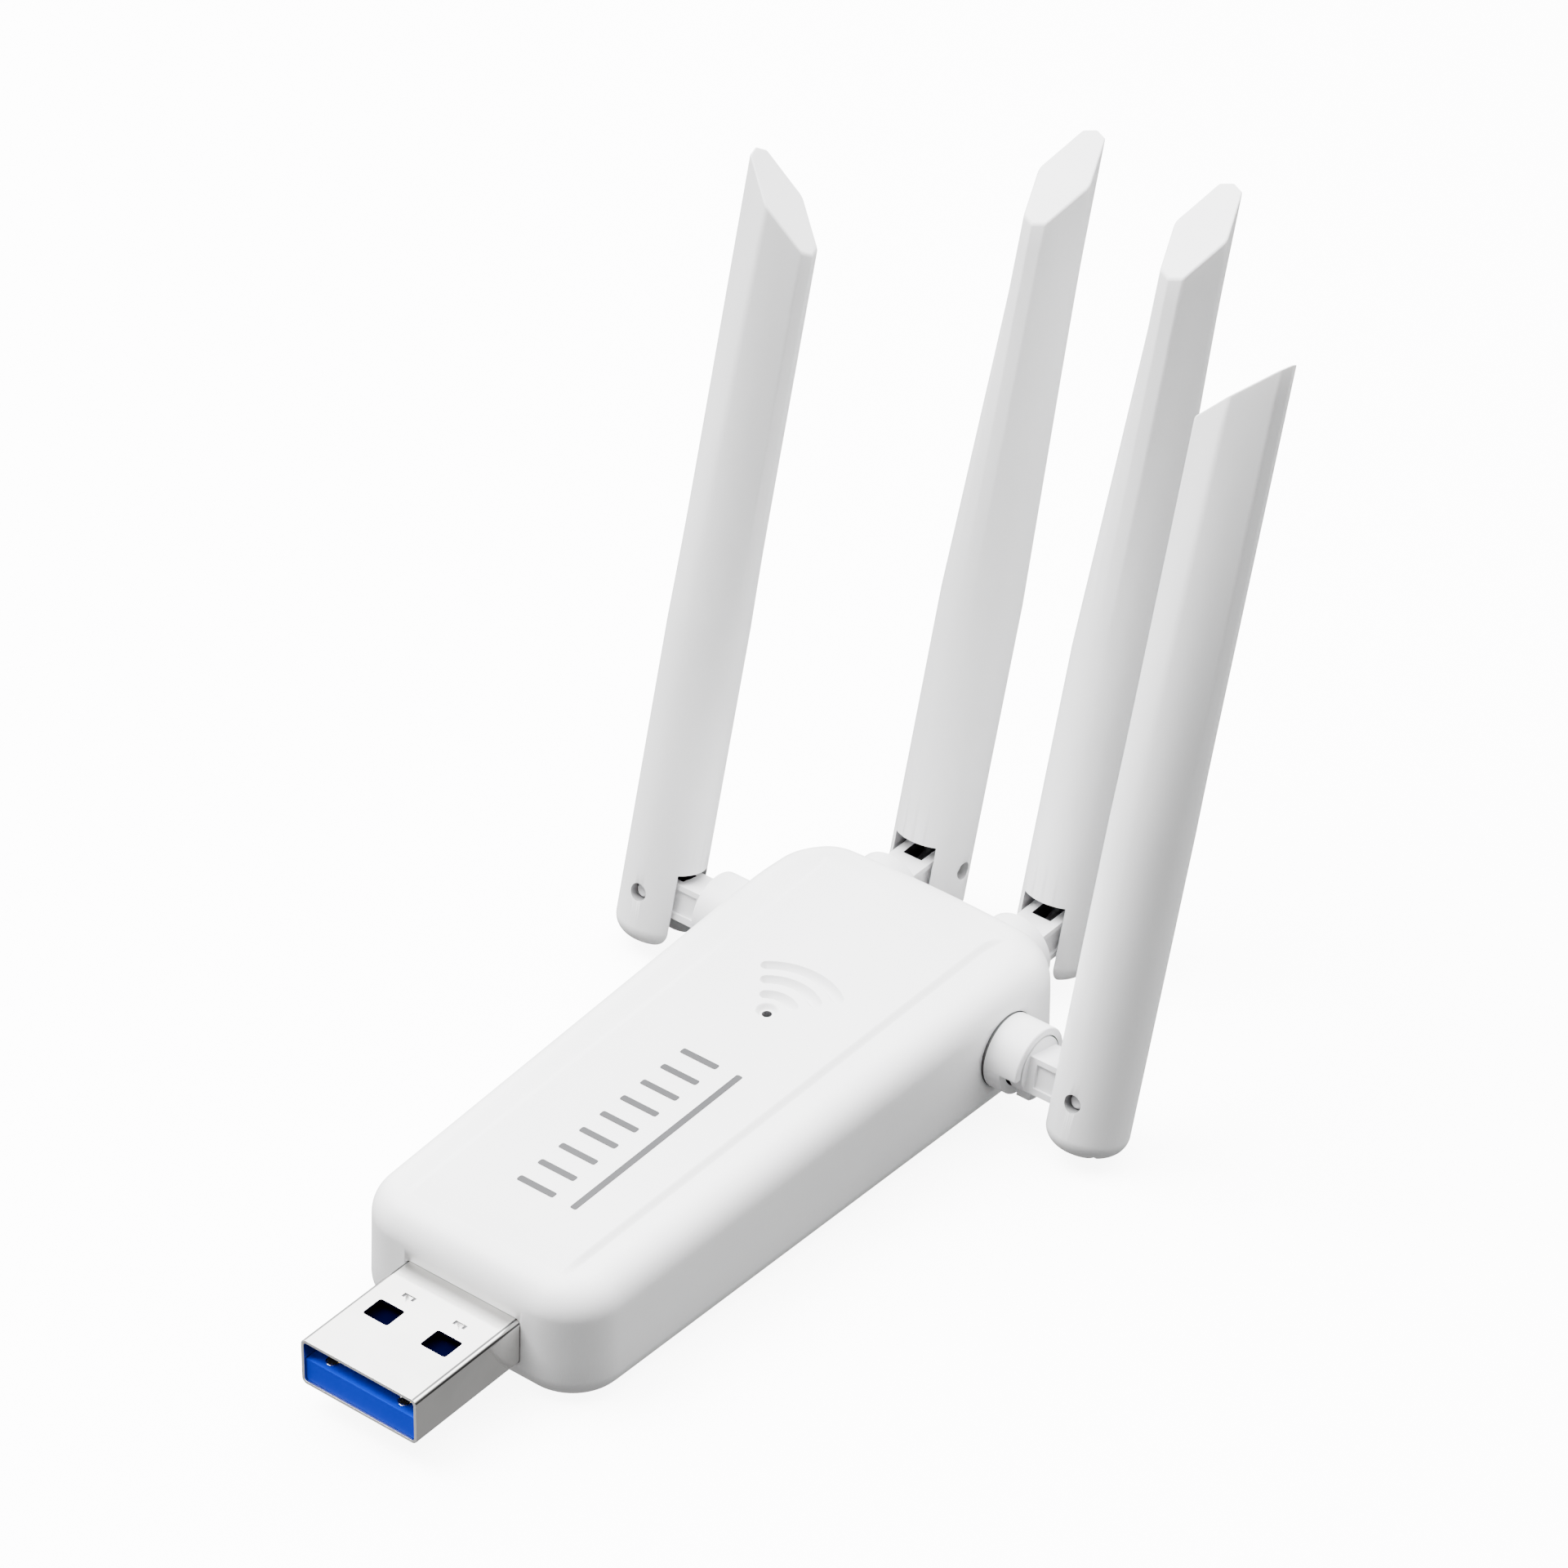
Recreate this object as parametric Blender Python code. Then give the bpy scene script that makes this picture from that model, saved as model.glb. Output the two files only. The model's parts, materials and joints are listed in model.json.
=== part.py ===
"""USB wifi range extender with four folding antennas.

The lengths below are in millimetres. Every mesh is scaled to metres as it is stored.
The origin is the centre of the flat underside, +Z is up, the plug points to -Y.
"""
import math

import bmesh
import bpy
from mathutils import Matrix, Vector

MM = 0.001
GAP = 0.3                       # seat gap between pieces that touch
MOUTH_GAP = 0.12                # round the plug and the hinge collars

# body shell
BODY_LENGTH = 63.5
FRONT_HALF_WIDTH = 12.2
REAR_HALF_WIDTH = 14.4
FRONT_CORNER = 5.0
REAR_CORNER = 5.2
REAR_BULGE = 0.7
FRONT_HEIGHT = 10.8
REAR_HEIGHT = 11.95
TOP_FILLET = 2.75
BASE_FILLET = 0.8
WALL_DRAFT = 0.15
WALL = 1.3
FLOOR = 1.3
Y_FRONT = -BODY_LENGTH / 2
Y_REAR = BODY_LENGTH / 2

# raised field, signal arcs and pinhole dimple on the top
FIELD_RISE = 0.22
FIELD_SLOPE = 0.35
FIELD_FRONT = 3.2
FIELD_HALF_FRONT = 7.4
FIELD_HALF_REAR = 8.3
FIELD_FLARE = 2.6
DIMPLE_Y = 7.9
DIMPLE_RADIUS = 0.95
PINHOLE_RADIUS = 0.45
DIMPLE_DEPTH = 0.5
ARC_RADII = (2.45, 4.45, 6.45)
ARC_WIDTH = 0.75
ARC_HALF_ANGLE = 38.0
ARC_DEPTH = 0.25

# USB-A plug
PLUG_Z = 4.7
SHELL_WIDTH = 12.0
SHELL_HEIGHT = 4.5
SHELL_WALL = 0.3
SHELL_CORNER = 0.55
SHELL_OUT = 12.4
SHELL_IN = 5.5
WINDOW_WIDTH = 2.3
WINDOW_LENGTH = 2.0
WINDOW_BACK = 5.8
WINDOW_PITCH = 6.0
TONGUE_THICK = 2.0
TONGUE_RECESS = 0.9
BLOCK_LENGTH = 7.4
CONTACT_THICK = 0.12

# board and what is on it
BOARD_HALF_WIDTH = 9.3
BOARD_THICK = 0.8
BOARD_TOP = 4.5
BOARD_FRONT = 6.5
BOARD_REAR = 57.5
POST_RADIUS = 1.2
SWITCH_SIZE = (4.5, 4.5, 3.5)
SWITCH_BORE = 1.1
PLUNGER_RADIUS = 0.9
PLUNGER_BASE = 6.6
PLUNGER_TOP = 9.8

# hinges: distances run along the stub axis from the tilt pivot
SIDE_PIVOT = (23.24, 22.29, 5.65)
REAR_PIVOT = (6.95, 39.39, 6.45)
SIDE_LEAN = 14.0
REAR_FOLD = 76.0
COLLAR_RADIUS = 3.4
COLLAR_BORE = 2.6
COLLAR_MOUTH = 2.85
COLLAR_END = -6.1
MOUTH_DEPTH = 1.2
NOTCH_DEPTH = 1.4
FLANGE_RADIUS = 3.95
FLANGE_THICK = 0.8
FLANGE_HIGH = 10.0
SIDE_SEAT = 1.2
REAR_SEAT = 1.5
SHAFT_RADIUS = 2.3
SNAP_RADIUS = 3.0
SNAP_THICK = 0.7
DISC_RADIUS = 2.6
DISC_END = -5.75
LUG_RADIUS = 3.25
LUG_HALF_ANGLE = 13.0
TONGUE_HALF_WIDTH = 1.85
TONGUE_HALF_HEIGHT = 1.85
TRUNNION_RADIUS = 0.75
TRUNNION_END = 2.95
COAX_RADIUS = 0.55
COAX_BORE = 0.9
COAX_GAP = 0.85
HOLLOW_HALF_WIDTH = 0.95
HOLLOW_FLOOR = -0.85
HOLLOW_BACK = -2.2

# antenna blade: u points away from the body, w runs along the tilt axis, v up the blade
BLADE_RADIUS = 3.6
HEEL = 5.1
HEEL_FILLET = 1.8
ROUND_TOP = 25.0
TIP_V = 63.33
TIP_SLOPE = 0.958
TIP_SECTION = ((3.76, 0.0), (3.41, 1.15), (0.0, 2.62), (-3.41, 1.15), (-3.76, 0.0),
               (-3.41, -1.15), (0.0, -2.62), (3.41, -1.15))
TIP_STEPS = (2, 8, 8, 2, 2, 8, 8, 2)
SLOT_HALF_WIDTH = 2.15
SLOT_TOP = 2.35
SLOT_OUTER = 2.3
PIVOT_HOLE = 0.95
CAVITY_LOW_RADIUS = 2.3
CAVITY_TOP_RADIUS = 1.4
CAVITY_TOP = 57.0
RADIATOR_BASE = 18.0
RADIATOR_SHOULDER = 38.0
RADIATOR_TOP = 55.5
RADIATOR_RADIUS = 1.1
WHIP_RADIUS = 0.35

MATERIALS = {
    "white_plastic": ((0.82, 0.82, 0.83, 1.0), 0.42, 0.0),
    "hinge_plastic": ((0.78, 0.78, 0.79, 1.0), 0.45, 0.0),
    "nickel": ((0.72, 0.71, 0.69, 1.0), 0.18, 1.0),
    "blue_plastic": ((0.004, 0.07, 0.55, 1.0), 0.4, 0.0),
    "gold": ((0.85, 0.6, 0.22, 1.0), 0.25, 1.0),
    "board_green": ((0.015, 0.14, 0.06, 1.0), 0.45, 0.0),
    "tin": ((0.62, 0.63, 0.64, 1.0), 0.3, 1.0),
    "chip_black": ((0.015, 0.015, 0.017, 1.0), 0.5, 0.0),
    "ferrite": ((0.05, 0.05, 0.055, 1.0), 0.6, 0.0),
    "led_lens": ((0.85, 0.88, 0.7, 1.0), 0.25, 0.0),
    "cable_jacket": ((0.03, 0.03, 0.032, 1.0), 0.5, 0.0),
    "brass": ((0.7, 0.47, 0.17, 1.0), 0.28, 1.0),
}


# ---------------------------------------------------------------- mesh helpers

def material(name):
    """Return the named material, made on first use."""
    found = bpy.data.materials.get(name)
    if found:
        return found
    colour, roughness, metallic = MATERIALS[name]
    made = bpy.data.materials.new(name)
    made.use_nodes = True
    made.diffuse_color = colour
    shader = made.node_tree.nodes["Principled BSDF"]
    shader.inputs["Base Color"].default_value = colour
    shader.inputs["Roughness"].default_value = roughness
    shader.inputs["Metallic"].default_value = metallic
    return made


def add_object(name, bm, material_name, matrix=None, sharp=35.0):
    """Store a bmesh drawn in millimetres as a metre object."""
    bmesh.ops.scale(bm, vec=(MM, MM, MM), verts=bm.verts)
    bmesh.ops.recalc_face_normals(bm, faces=bm.faces)
    mesh = bpy.data.meshes.new(name)
    bm.to_mesh(mesh)
    bm.free()
    mesh.materials.append(material(material_name))
    mesh.shade_smooth()
    mesh.set_sharp_from_angle(angle=math.radians(sharp))
    thing = bpy.data.objects.new(name, mesh)
    bpy.context.scene.collection.objects.link(thing)
    if matrix is not None:
        thing.matrix_world = matrix
    return thing


def combine(target, tool, operation, sharp=35.0):
    """Apply one exact Boolean to target and remove the tool object."""
    step = target.modifiers.new("combine", "BOOLEAN")
    step.operation = operation
    step.solver = "EXACT"
    step.object = tool
    graph = bpy.context.evaluated_depsgraph_get()
    made = bpy.data.meshes.new_from_object(target.evaluated_get(graph))
    target.modifiers.clear()
    old = target.data
    target.data = made
    made.name = old.name
    bpy.data.meshes.remove(old)
    made.shade_smooth()
    made.set_sharp_from_angle(angle=math.radians(sharp))
    tool_mesh = tool.data
    bpy.data.objects.remove(tool)
    bpy.data.meshes.remove(tool_mesh)


def cut(target, tool):
    combine(target, tool, "DIFFERENCE")


def join(target, tool):
    combine(target, tool, "UNION")


def loft(rings):
    """Closed solid through rings of equal length, with flat caps."""
    bm = bmesh.new()
    rows = [[bm.verts.new(point) for point in ring] for ring in rings]
    count = len(rows[0])
    for low, high in zip(rows, rows[1:]):
        for i in range(count):
            j = (i + 1) % count
            bm.faces.new((low[i], low[j], high[j], high[i]))
    bm.faces.new(tuple(reversed(rows[0])))
    bm.faces.new(tuple(rows[-1]))
    return bm


def circle(radius, height, segments):
    turn = 2 * math.pi / segments
    return [(radius * math.cos(i * turn), radius * math.sin(i * turn), height)
            for i in range(segments)]


def turned(profile, segments=40):
    """Closed solid turned about Z from (radius, height) pairs, low to high."""
    return loft([circle(radius, height, segments) for radius, height in profile])


def box(low, high):
    ring = [(low[0], low[1]), (high[0], low[1]), (high[0], high[1]), (low[0], high[1])]
    return loft([[(x, y, z) for x, y in ring] for z in (low[2], high[2])])


def prism(outline, low, high):
    """Extrude an XY outline along Z."""
    return loft([[(x, y, z) for x, y in outline] for z in (low, high)])


def arc(centre, radius, start, end, steps):
    """Points on an arc, angles in degrees."""
    points = []
    for i in range(steps + 1):
        angle = math.radians(start + (end - start) * i / steps)
        points.append((centre[0] + radius * math.cos(angle), centre[1] + radius * math.sin(angle)))
    return points


def sector(inner, outer, start, end, steps):
    """Outline of a ring sector, angles in degrees."""
    back = arc((0, 0), inner, end, start, steps) if inner > 0 else [(0.0, 0.0)]
    return arc((0, 0), outer, start, end, steps) + back


def along_x(matrix=None):
    """Matrix that lays a solid turned about Z along X, then applies matrix."""
    lay = Matrix(((0, 0, 1, 0), (0, 1, 0, 0), (-1, 0, 0, 0), (0, 0, 0, 1)))
    return matrix @ lay if matrix is not None else lay


# ---------------------------------------------------------------- body shell

def half_width(y):
    share = (y - Y_FRONT) / BODY_LENGTH
    return FRONT_HALF_WIDTH + (REAR_HALF_WIDTH - FRONT_HALF_WIDTH) * share


def top_height(y):
    share = (y - Y_FRONT) / BODY_LENGTH
    return FRONT_HEIGHT + (REAR_HEIGHT - FRONT_HEIGHT) * share


def body_outline(inset):
    """Plan outline of the body, moved inwards by inset, counter-clockwise."""
    front = max(FRONT_CORNER - inset, 0.4)
    rear = max(REAR_CORNER - inset, 0.4)
    y_low = Y_FRONT + inset
    y_high = Y_REAR - inset
    taper = math.degrees(math.atan((REAR_HALF_WIDTH - FRONT_HALF_WIDTH) / BODY_LENGTH))
    front_x = half_width(y_low + front) - inset - front
    rear_x = half_width(y_high - rear) - inset - rear
    right = arc((front_x, y_low + front), front, -90, -taper, 8)
    right += arc((rear_x, y_high - rear), rear, -taper, 90, 8)
    bulged = []
    for x, y in right:
        push = REAR_BULGE * (1 - (x / REAR_HALF_WIDTH) ** 2) if y > 0 else 0.0
        bulged.append((x, y + push * max(0.0, (y - y_high + rear) / rear)))
    for i in range(1, 6):
        x = rear_x * (1 - i / 6)
        bulged.append((x, y_high + REAR_BULGE * (1 - (x / REAR_HALF_WIDTH) ** 2)))
    left = [(-x, y) for x, y in reversed(bulged[:-1])]
    middle = [(0.0, y_high + REAR_BULGE)]
    return bulged[:-1] + [bulged[-1]] + middle + [(-bulged[-1][0], bulged[-1][1])] + left


def body_solid(inset, low, roof_drop, fillet, base_fillet):
    """Solid bounded by the outline; roof_drop lowers the top."""
    rings = []

    def ring(extra, height):
        return [(x, y, height(y)) for x, y in body_outline(inset + extra)]

    if base_fillet:
        for i in range(4):
            angle = math.radians(90 * i / 4)
            drop = base_fillet * (1 - math.sin(angle))
            z = low + base_fillet * (1 - math.cos(angle))
            rings.append(ring(drop, lambda y, z=z: z))
        rings.append(ring(0.0, lambda y: low + base_fillet))
    else:
        rings.append(ring(0.0, lambda y: low))
    for i in range(8):
        angle = math.radians(90 * i / 7)
        extra = WALL_DRAFT + fillet * (1 - math.cos(angle))
        lower = fillet * (1 - math.sin(angle)) + roof_drop
        rings.append(ring(extra, lambda y, lower=lower: top_height(y) - lower))
    return loft(rings)


def field_outline(spread):
    """Outline of the raised field on the top, grown by spread."""
    rear = Y_REAR - TOP_FILLET - 0.6
    flare_from = rear - 7.0
    right = [(FIELD_HALF_FRONT + spread - 0.8, Y_FRONT + FIELD_FRONT - spread),
             (FIELD_HALF_FRONT + spread, Y_FRONT + FIELD_FRONT - spread + 0.8),
             (FIELD_HALF_REAR + spread, flare_from)]
    for i in range(1, 7):
        share = i / 6
        right.append((FIELD_HALF_REAR + spread + FIELD_FLARE * share ** 2,
                      flare_from + (rear - flare_from + spread) * math.sin(share * math.pi / 2)))
    return right + [(-x, y) for x, y in reversed(right)]


def make_top_cover():
    cover = add_object("top_cover", body_solid(0, 0, 0, TOP_FILLET, BASE_FILLET), "white_plastic")
    rings = []
    for spread, rise in ((2 * FIELD_SLOPE, -FIELD_RISE), (0.0, FIELD_RISE)):
        rings.append([(x, y, top_height(y) + rise) for x, y in field_outline(spread)])
    join(cover, add_object("field", loft(rings), "white_plastic"))
    cut(cover, add_object("cavity", body_solid(WALL, -1.0, WALL, 1.8, 0), "white_plastic"))
    half = SHELL_WIDTH / 2 + MOUTH_GAP
    mouth = box((-half, Y_FRONT - 2, PLUG_Z - SHELL_HEIGHT / 2 - MOUTH_GAP),
                (half, Y_FRONT + WALL + 2, PLUG_Z + SHELL_HEIGHT / 2 + MOUTH_GAP))
    cut(cover, add_object("mouth", mouth, "white_plastic"))
    for radius in ARC_RADII:
        cut(cover, signal_arc(radius))
    top = top_height(DIMPLE_Y) + FIELD_RISE
    rim = DIMPLE_RADIUS + 0.45
    profile = ((PINHOLE_RADIUS, top - 3), (PINHOLE_RADIUS, top - DIMPLE_DEPTH), (rim, top + 0.2))
    dimple = add_object("dimple", turned(profile, 32), "white_plastic",
                        Matrix.Translation((0, DIMPLE_Y * MM, 0)))
    cut(cover, dimple)
    for hinge in HINGES:
        port = COLLAR_RADIUS + MOUTH_GAP
        reach = turned(((port, -14.5), (port, 0)), 48)
        cut(cover, add_object("port", reach, "white_plastic", along_x(hinge["fixed"])))
    for x, y in ((-8.6, -14.0), (8.6, -14.0), (-8.6, 10.0), (8.6, 10.0)):
        post = turned(((POST_RADIUS, BOARD_TOP + GAP), (POST_RADIUS, top_height(y) - WALL + 0.4)), 20)
        join(cover, add_object("post", post, "white_plastic", Matrix.Translation((x * MM, y * MM, 0))))
    return cover


def signal_arc(radius):
    """Cutter for one engraved arc with round ends, centred on the dimple."""
    half = ARC_WIDTH / 2
    ends = 90 - ARC_HALF_ANGLE, 90 + ARC_HALF_ANGLE
    outline = arc((0, 0), radius + half, ends[0], ends[1], 16)
    tip = math.radians(ends[1])
    outline += arc((radius * math.cos(tip), radius * math.sin(tip)), half, ends[1], ends[1] + 180, 6)[1:-1]
    outline += arc((0, 0), radius - half, ends[1], ends[0], 16)
    tip = math.radians(ends[0])
    outline += arc((radius * math.cos(tip), radius * math.sin(tip)), half, ends[0] + 180, ends[0] + 360, 6)[1:-1]
    rings = []
    for height in (FIELD_RISE - ARC_DEPTH, 1.0):
        rings.append([(x, y + DIMPLE_Y, top_height(y + DIMPLE_Y) + height) for x, y in outline])
    return add_object("arc", loft(rings), "white_plastic")


def make_bottom_cover():
    plate = body_outline(WALL + GAP / 2 + 0.05)
    cover = add_object("bottom_cover", prism(plate, 0.0, FLOOR), "white_plastic")
    for x, y in ((-8.6, -20.0), (8.6, -20.0), (-8.6, 14.0), (8.6, 14.0)):
        stand = turned(((POST_RADIUS, FLOOR - 0.4), (POST_RADIUS, BOARD_TOP - BOARD_THICK - GAP)), 20)
        join(cover, add_object("stand", stand, "white_plastic",
                               Matrix.Translation((x * MM, y * MM, 0))))
    for side in (-1, 1):
        for y in (-16.0, 2.0):
            inner = half_width(y) - WALL - 1.6
            outer = half_width(y) - WALL - 0.55
            low = min(side * inner, side * outer), y - 2.0, FLOOR - 0.4
            high = max(side * inner, side * outer), y + 2.0, BOARD_TOP - 1.4
            join(cover, add_object("clip", box(low, high), "white_plastic"))
    return cover


# ---------------------------------------------------------------- USB plug

def rounded_rect(half_x, half_z, radius, steps=5):
    points = []
    for quarter, (sx, sz) in enumerate(((1, -1), (1, 1), (-1, 1), (-1, -1))):
        centre = (sx * (half_x - radius), sz * (half_z - radius))
        start = -90 + 90 * quarter
        points += arc(centre, radius, start, start + 90, steps)
    return points


def tube_along_y(outline, y_low, y_high):
    return loft([[(x, y, PLUG_Z + z) for x, z in outline] for y in (y_low, y_high)])


def make_usb_plug():
    y_mouth = Y_FRONT - SHELL_OUT
    y_back = Y_FRONT + SHELL_IN
    half_x = SHELL_WIDTH / 2
    half_z = SHELL_HEIGHT / 2
    outer = rounded_rect(half_x, half_z, SHELL_CORNER)
    inner = rounded_rect(half_x - SHELL_WALL, half_z - SHELL_WALL, SHELL_CORNER - SHELL_WALL + 0.05)
    shell = add_object("usb_shell", tube_along_y(outer, y_mouth, y_back), "nickel")
    cut(shell, add_object("bore", tube_along_y(inner, y_mouth - 1, y_back + 1), "nickel"))
    for side in (-1, 1):
        middle = side * WINDOW_PITCH / 2
        low = (middle - WINDOW_WIDTH / 2, y_mouth + WINDOW_BACK, PLUG_Z - half_z - 1)
        high = (middle + WINDOW_WIDTH / 2, y_mouth + WINDOW_BACK + WINDOW_LENGTH, PLUG_Z + half_z + 1)
        cut(shell, add_object("window", box(low, high), "nickel"))
    room = 0.15
    floor = PLUG_Z - half_z + SHELL_WALL + room
    side_x = half_x - SHELL_WALL - room
    tongue = box((-side_x, y_mouth + TONGUE_RECESS, floor),
                 (side_x, y_back - BLOCK_LENGTH + 0.5, floor + TONGUE_THICK))
    insulator = add_object("usb_insulator", tongue, "blue_plastic")
    block = box((-side_x, y_back - BLOCK_LENGTH, floor),
                (side_x, y_back, PLUG_Z + half_z - SHELL_WALL - room))
    join(insulator, add_object("block", block, "blue_plastic"))
    for side in (-1, 1):
        notch = turned(((0.55, y_mouth - 1), (0.55, y_mouth + 3.2)), 20)
        turn = Matrix.Rotation(math.radians(-90), 4, "X")
        place = Matrix.Translation((side * (side_x - 1.25) * MM, 0, (floor + TONGUE_THICK) * MM))
        cut(insulator, add_object("notch", notch, "blue_plastic", place @ turn))
    make_contacts(y_mouth, y_back, floor + TONGUE_THICK)
    return shell


def make_contacts(y_mouth, y_back, surface):
    """Four long blades and five short springs on the tongue."""
    base = surface + 0.08
    for index, (x, start) in enumerate(((-3.5, 2.2), (-1.0, 3.0), (1.0, 3.0), (3.5, 2.2)), 1):
        low = (x - 0.5, y_mouth + start, base)
        high = (x + 0.5, y_mouth + 7.6, base + CONTACT_THICK)
        add_object(f"usb_blade_contact_{index}", box(low, high), "gold")
    for index in range(1, 6):
        x = (index - 3) * 2.0
        low = (x - 0.3, y_mouth + 8.2, base)
        high = (x + 0.3, y_back - BLOCK_LENGTH - 0.3, base + CONTACT_THICK * 3)
        add_object(f"usb_spring_contact_{index}", box(low, high), "gold")


# ---------------------------------------------------------------- board

def seated_box(name, centre, size, material_name, lift=GAP):
    """A part standing on the board, with the seat gap under it."""
    low = (centre[0] - size[0] / 2, centre[1] - size[1] / 2, BOARD_TOP + lift)
    high = (centre[0] + size[0] / 2, centre[1] + size[1] / 2, BOARD_TOP + lift + size[2])
    return add_object(name, box(low, high), material_name)


def make_board():
    half = BOARD_HALF_WIDTH
    y_low = Y_FRONT + BOARD_FRONT
    y_high = Y_FRONT + BOARD_REAR
    chamfer = 1.5
    outline = [(half - chamfer, y_low), (half, y_low + chamfer), (half, y_high - chamfer),
               (half - chamfer, y_high), (chamfer - half, y_high), (-half, y_high - chamfer),
               (-half, y_low + chamfer), (chamfer - half, y_low)]
    add_object("main_board", prism(outline, BOARD_TOP - BOARD_THICK, BOARD_TOP), "board_green")
    seated_box("wifi_chipset", (0, -6.0), (8.0, 8.0, 0.85), "chip_black")
    shield = seated_box("rf_shield", (0, -6.0), (14.0, 15.0, 2.0), "tin")
    room = box((-6.8, -13.3, BOARD_TOP - 1), (6.8, 1.3, BOARD_TOP + GAP + 1.8))
    cut(shield, add_object("room", room, "tin"))
    seated_box("flash_memory", (-5.2, -19.6), (5.0, 4.0, 1.6), "chip_black")
    seated_box("voltage_regulator", (4.6, -21.0), (4.5, 2.6, 1.5), "chip_black")
    seated_box("power_inductor", (5.4, -16.2), (3.0, 3.0, 1.4), "ferrite")
    seated_box("crystal", (-6.4, 5.0), (3.2, 2.5, 0.7), "tin")
    seated_box("status_led", (0, 13.0), (1.6, 0.8, 0.6), "led_lens")
    body = seated_box("reset_switch_body", (0, DIMPLE_Y), SWITCH_SIZE, "chip_black")
    bore = turned(((SWITCH_BORE, PLUNGER_BASE - 0.6), (SWITCH_BORE, 12)), 24)
    place = Matrix.Translation((0, DIMPLE_Y * MM, 0))
    cut(body, add_object("well", bore, "chip_black", place))
    plunger = turned(((PLUNGER_RADIUS, PLUNGER_BASE), (PLUNGER_RADIUS, PLUNGER_TOP - 0.15),
                      (PLUNGER_RADIUS - 0.15, PLUNGER_TOP)), 24)
    add_object("reset_plunger", plunger, "hinge_plastic", place)


# ---------------------------------------------------------------- hinges

def frame_matrix(origin, out, up):
    """Matrix whose X is out, Z is up and origin is in millimetres."""
    out = Vector(out).normalized()
    up = Vector(up).normalized()
    across = up.cross(out)
    columns = Matrix((out, across, up)).transposed().to_4x4()
    return Matrix.Translation(Vector(origin) * MM) @ columns


def hinge_table():
    """The four antenna hinges: fixed, swivelled and blade frames."""
    table = []
    lean = math.radians(SIDE_LEAN)
    fold = math.radians(REAR_FOLD)
    wall_side = half_width(SIDE_PIVOT[1]) - SIDE_PIVOT[0]
    wall_rear = Y_REAR - REAR_PIVOT[1]
    for name, side in (("left", -1), ("right", 1)):
        origin = (side * SIDE_PIVOT[0], SIDE_PIVOT[1], SIDE_PIVOT[2])
        out = Vector((side, 0, 0))
        up = Vector((0, math.sin(lean), math.cos(lean)))
        table.append({"name": name, "fixed": frame_matrix(origin, out, (0, 0, 1)),
                      "swivel": frame_matrix(origin, out, up),
                      "blade": frame_matrix(origin, out, up),
                      "wall": wall_side, "seat": SIDE_SEAT, "notch": (-91.0, 91.0)})
    for name, side in (("rear_left", -1), ("rear_right", 1)):
        origin = (side * REAR_PIVOT[0], REAR_PIVOT[1], REAR_PIVOT[2])
        out = Vector((0, 1, 0))
        up = Vector((0, 0, 1))
        v = out * math.cos(fold) + up * math.sin(fold)
        u = out * math.sin(fold) - up * math.cos(fold)
        open_way = (-17.0, 91.0) if side > 0 else (-91.0, 17.0)
        table.append({"name": name, "fixed": frame_matrix(origin, out, up),
                      "swivel": frame_matrix(origin, out, up),
                      "blade": frame_matrix(origin, u, v),
                      "wall": wall_rear, "seat": REAR_SEAT, "notch": open_way})
    return table


def make_collar(hinge):
    """Fixed sleeve in the body wall, with a stop notch in its mouth."""
    flange_out = hinge["wall"] - WALL - hinge["seat"]
    flange_in = flange_out - FLANGE_THICK
    profile = ((FLANGE_RADIUS, flange_in), (FLANGE_RADIUS, flange_out), (COLLAR_RADIUS, flange_out),
               (COLLAR_RADIUS, COLLAR_END - 0.15), (COLLAR_RADIUS - 0.15, COLLAR_END))
    collar = add_object("hinge_collar_" + hinge["name"], turned(profile, 48), "hinge_plastic",
                        along_x(hinge["fixed"]))
    bore = ((COLLAR_BORE, flange_in - 1), (COLLAR_BORE, COLLAR_END - MOUTH_DEPTH),
            (COLLAR_MOUTH, COLLAR_END - MOUTH_DEPTH), (COLLAR_MOUTH, COLLAR_END + 1))
    cut(collar, add_object("bore", turned(bore, 48), "hinge_plastic", along_x(hinge["fixed"])))
    start, end = hinge["notch"]
    outline = sector(0, 6, start, end, 24)
    notch = add_object("notch", prism(outline, COLLAR_END - NOTCH_DEPTH, COLLAR_END + 1),
                       "hinge_plastic", along_x(hinge["fixed"]))
    cut(collar, notch)
    if hinge["name"].startswith("rear"):
        crown = box((-40, 0, FLANGE_HIGH), (40, Y_REAR - WALL - 0.4, 30))
        cut(collar, add_object("crown", crown, "hinge_plastic"))
    return collar


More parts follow.
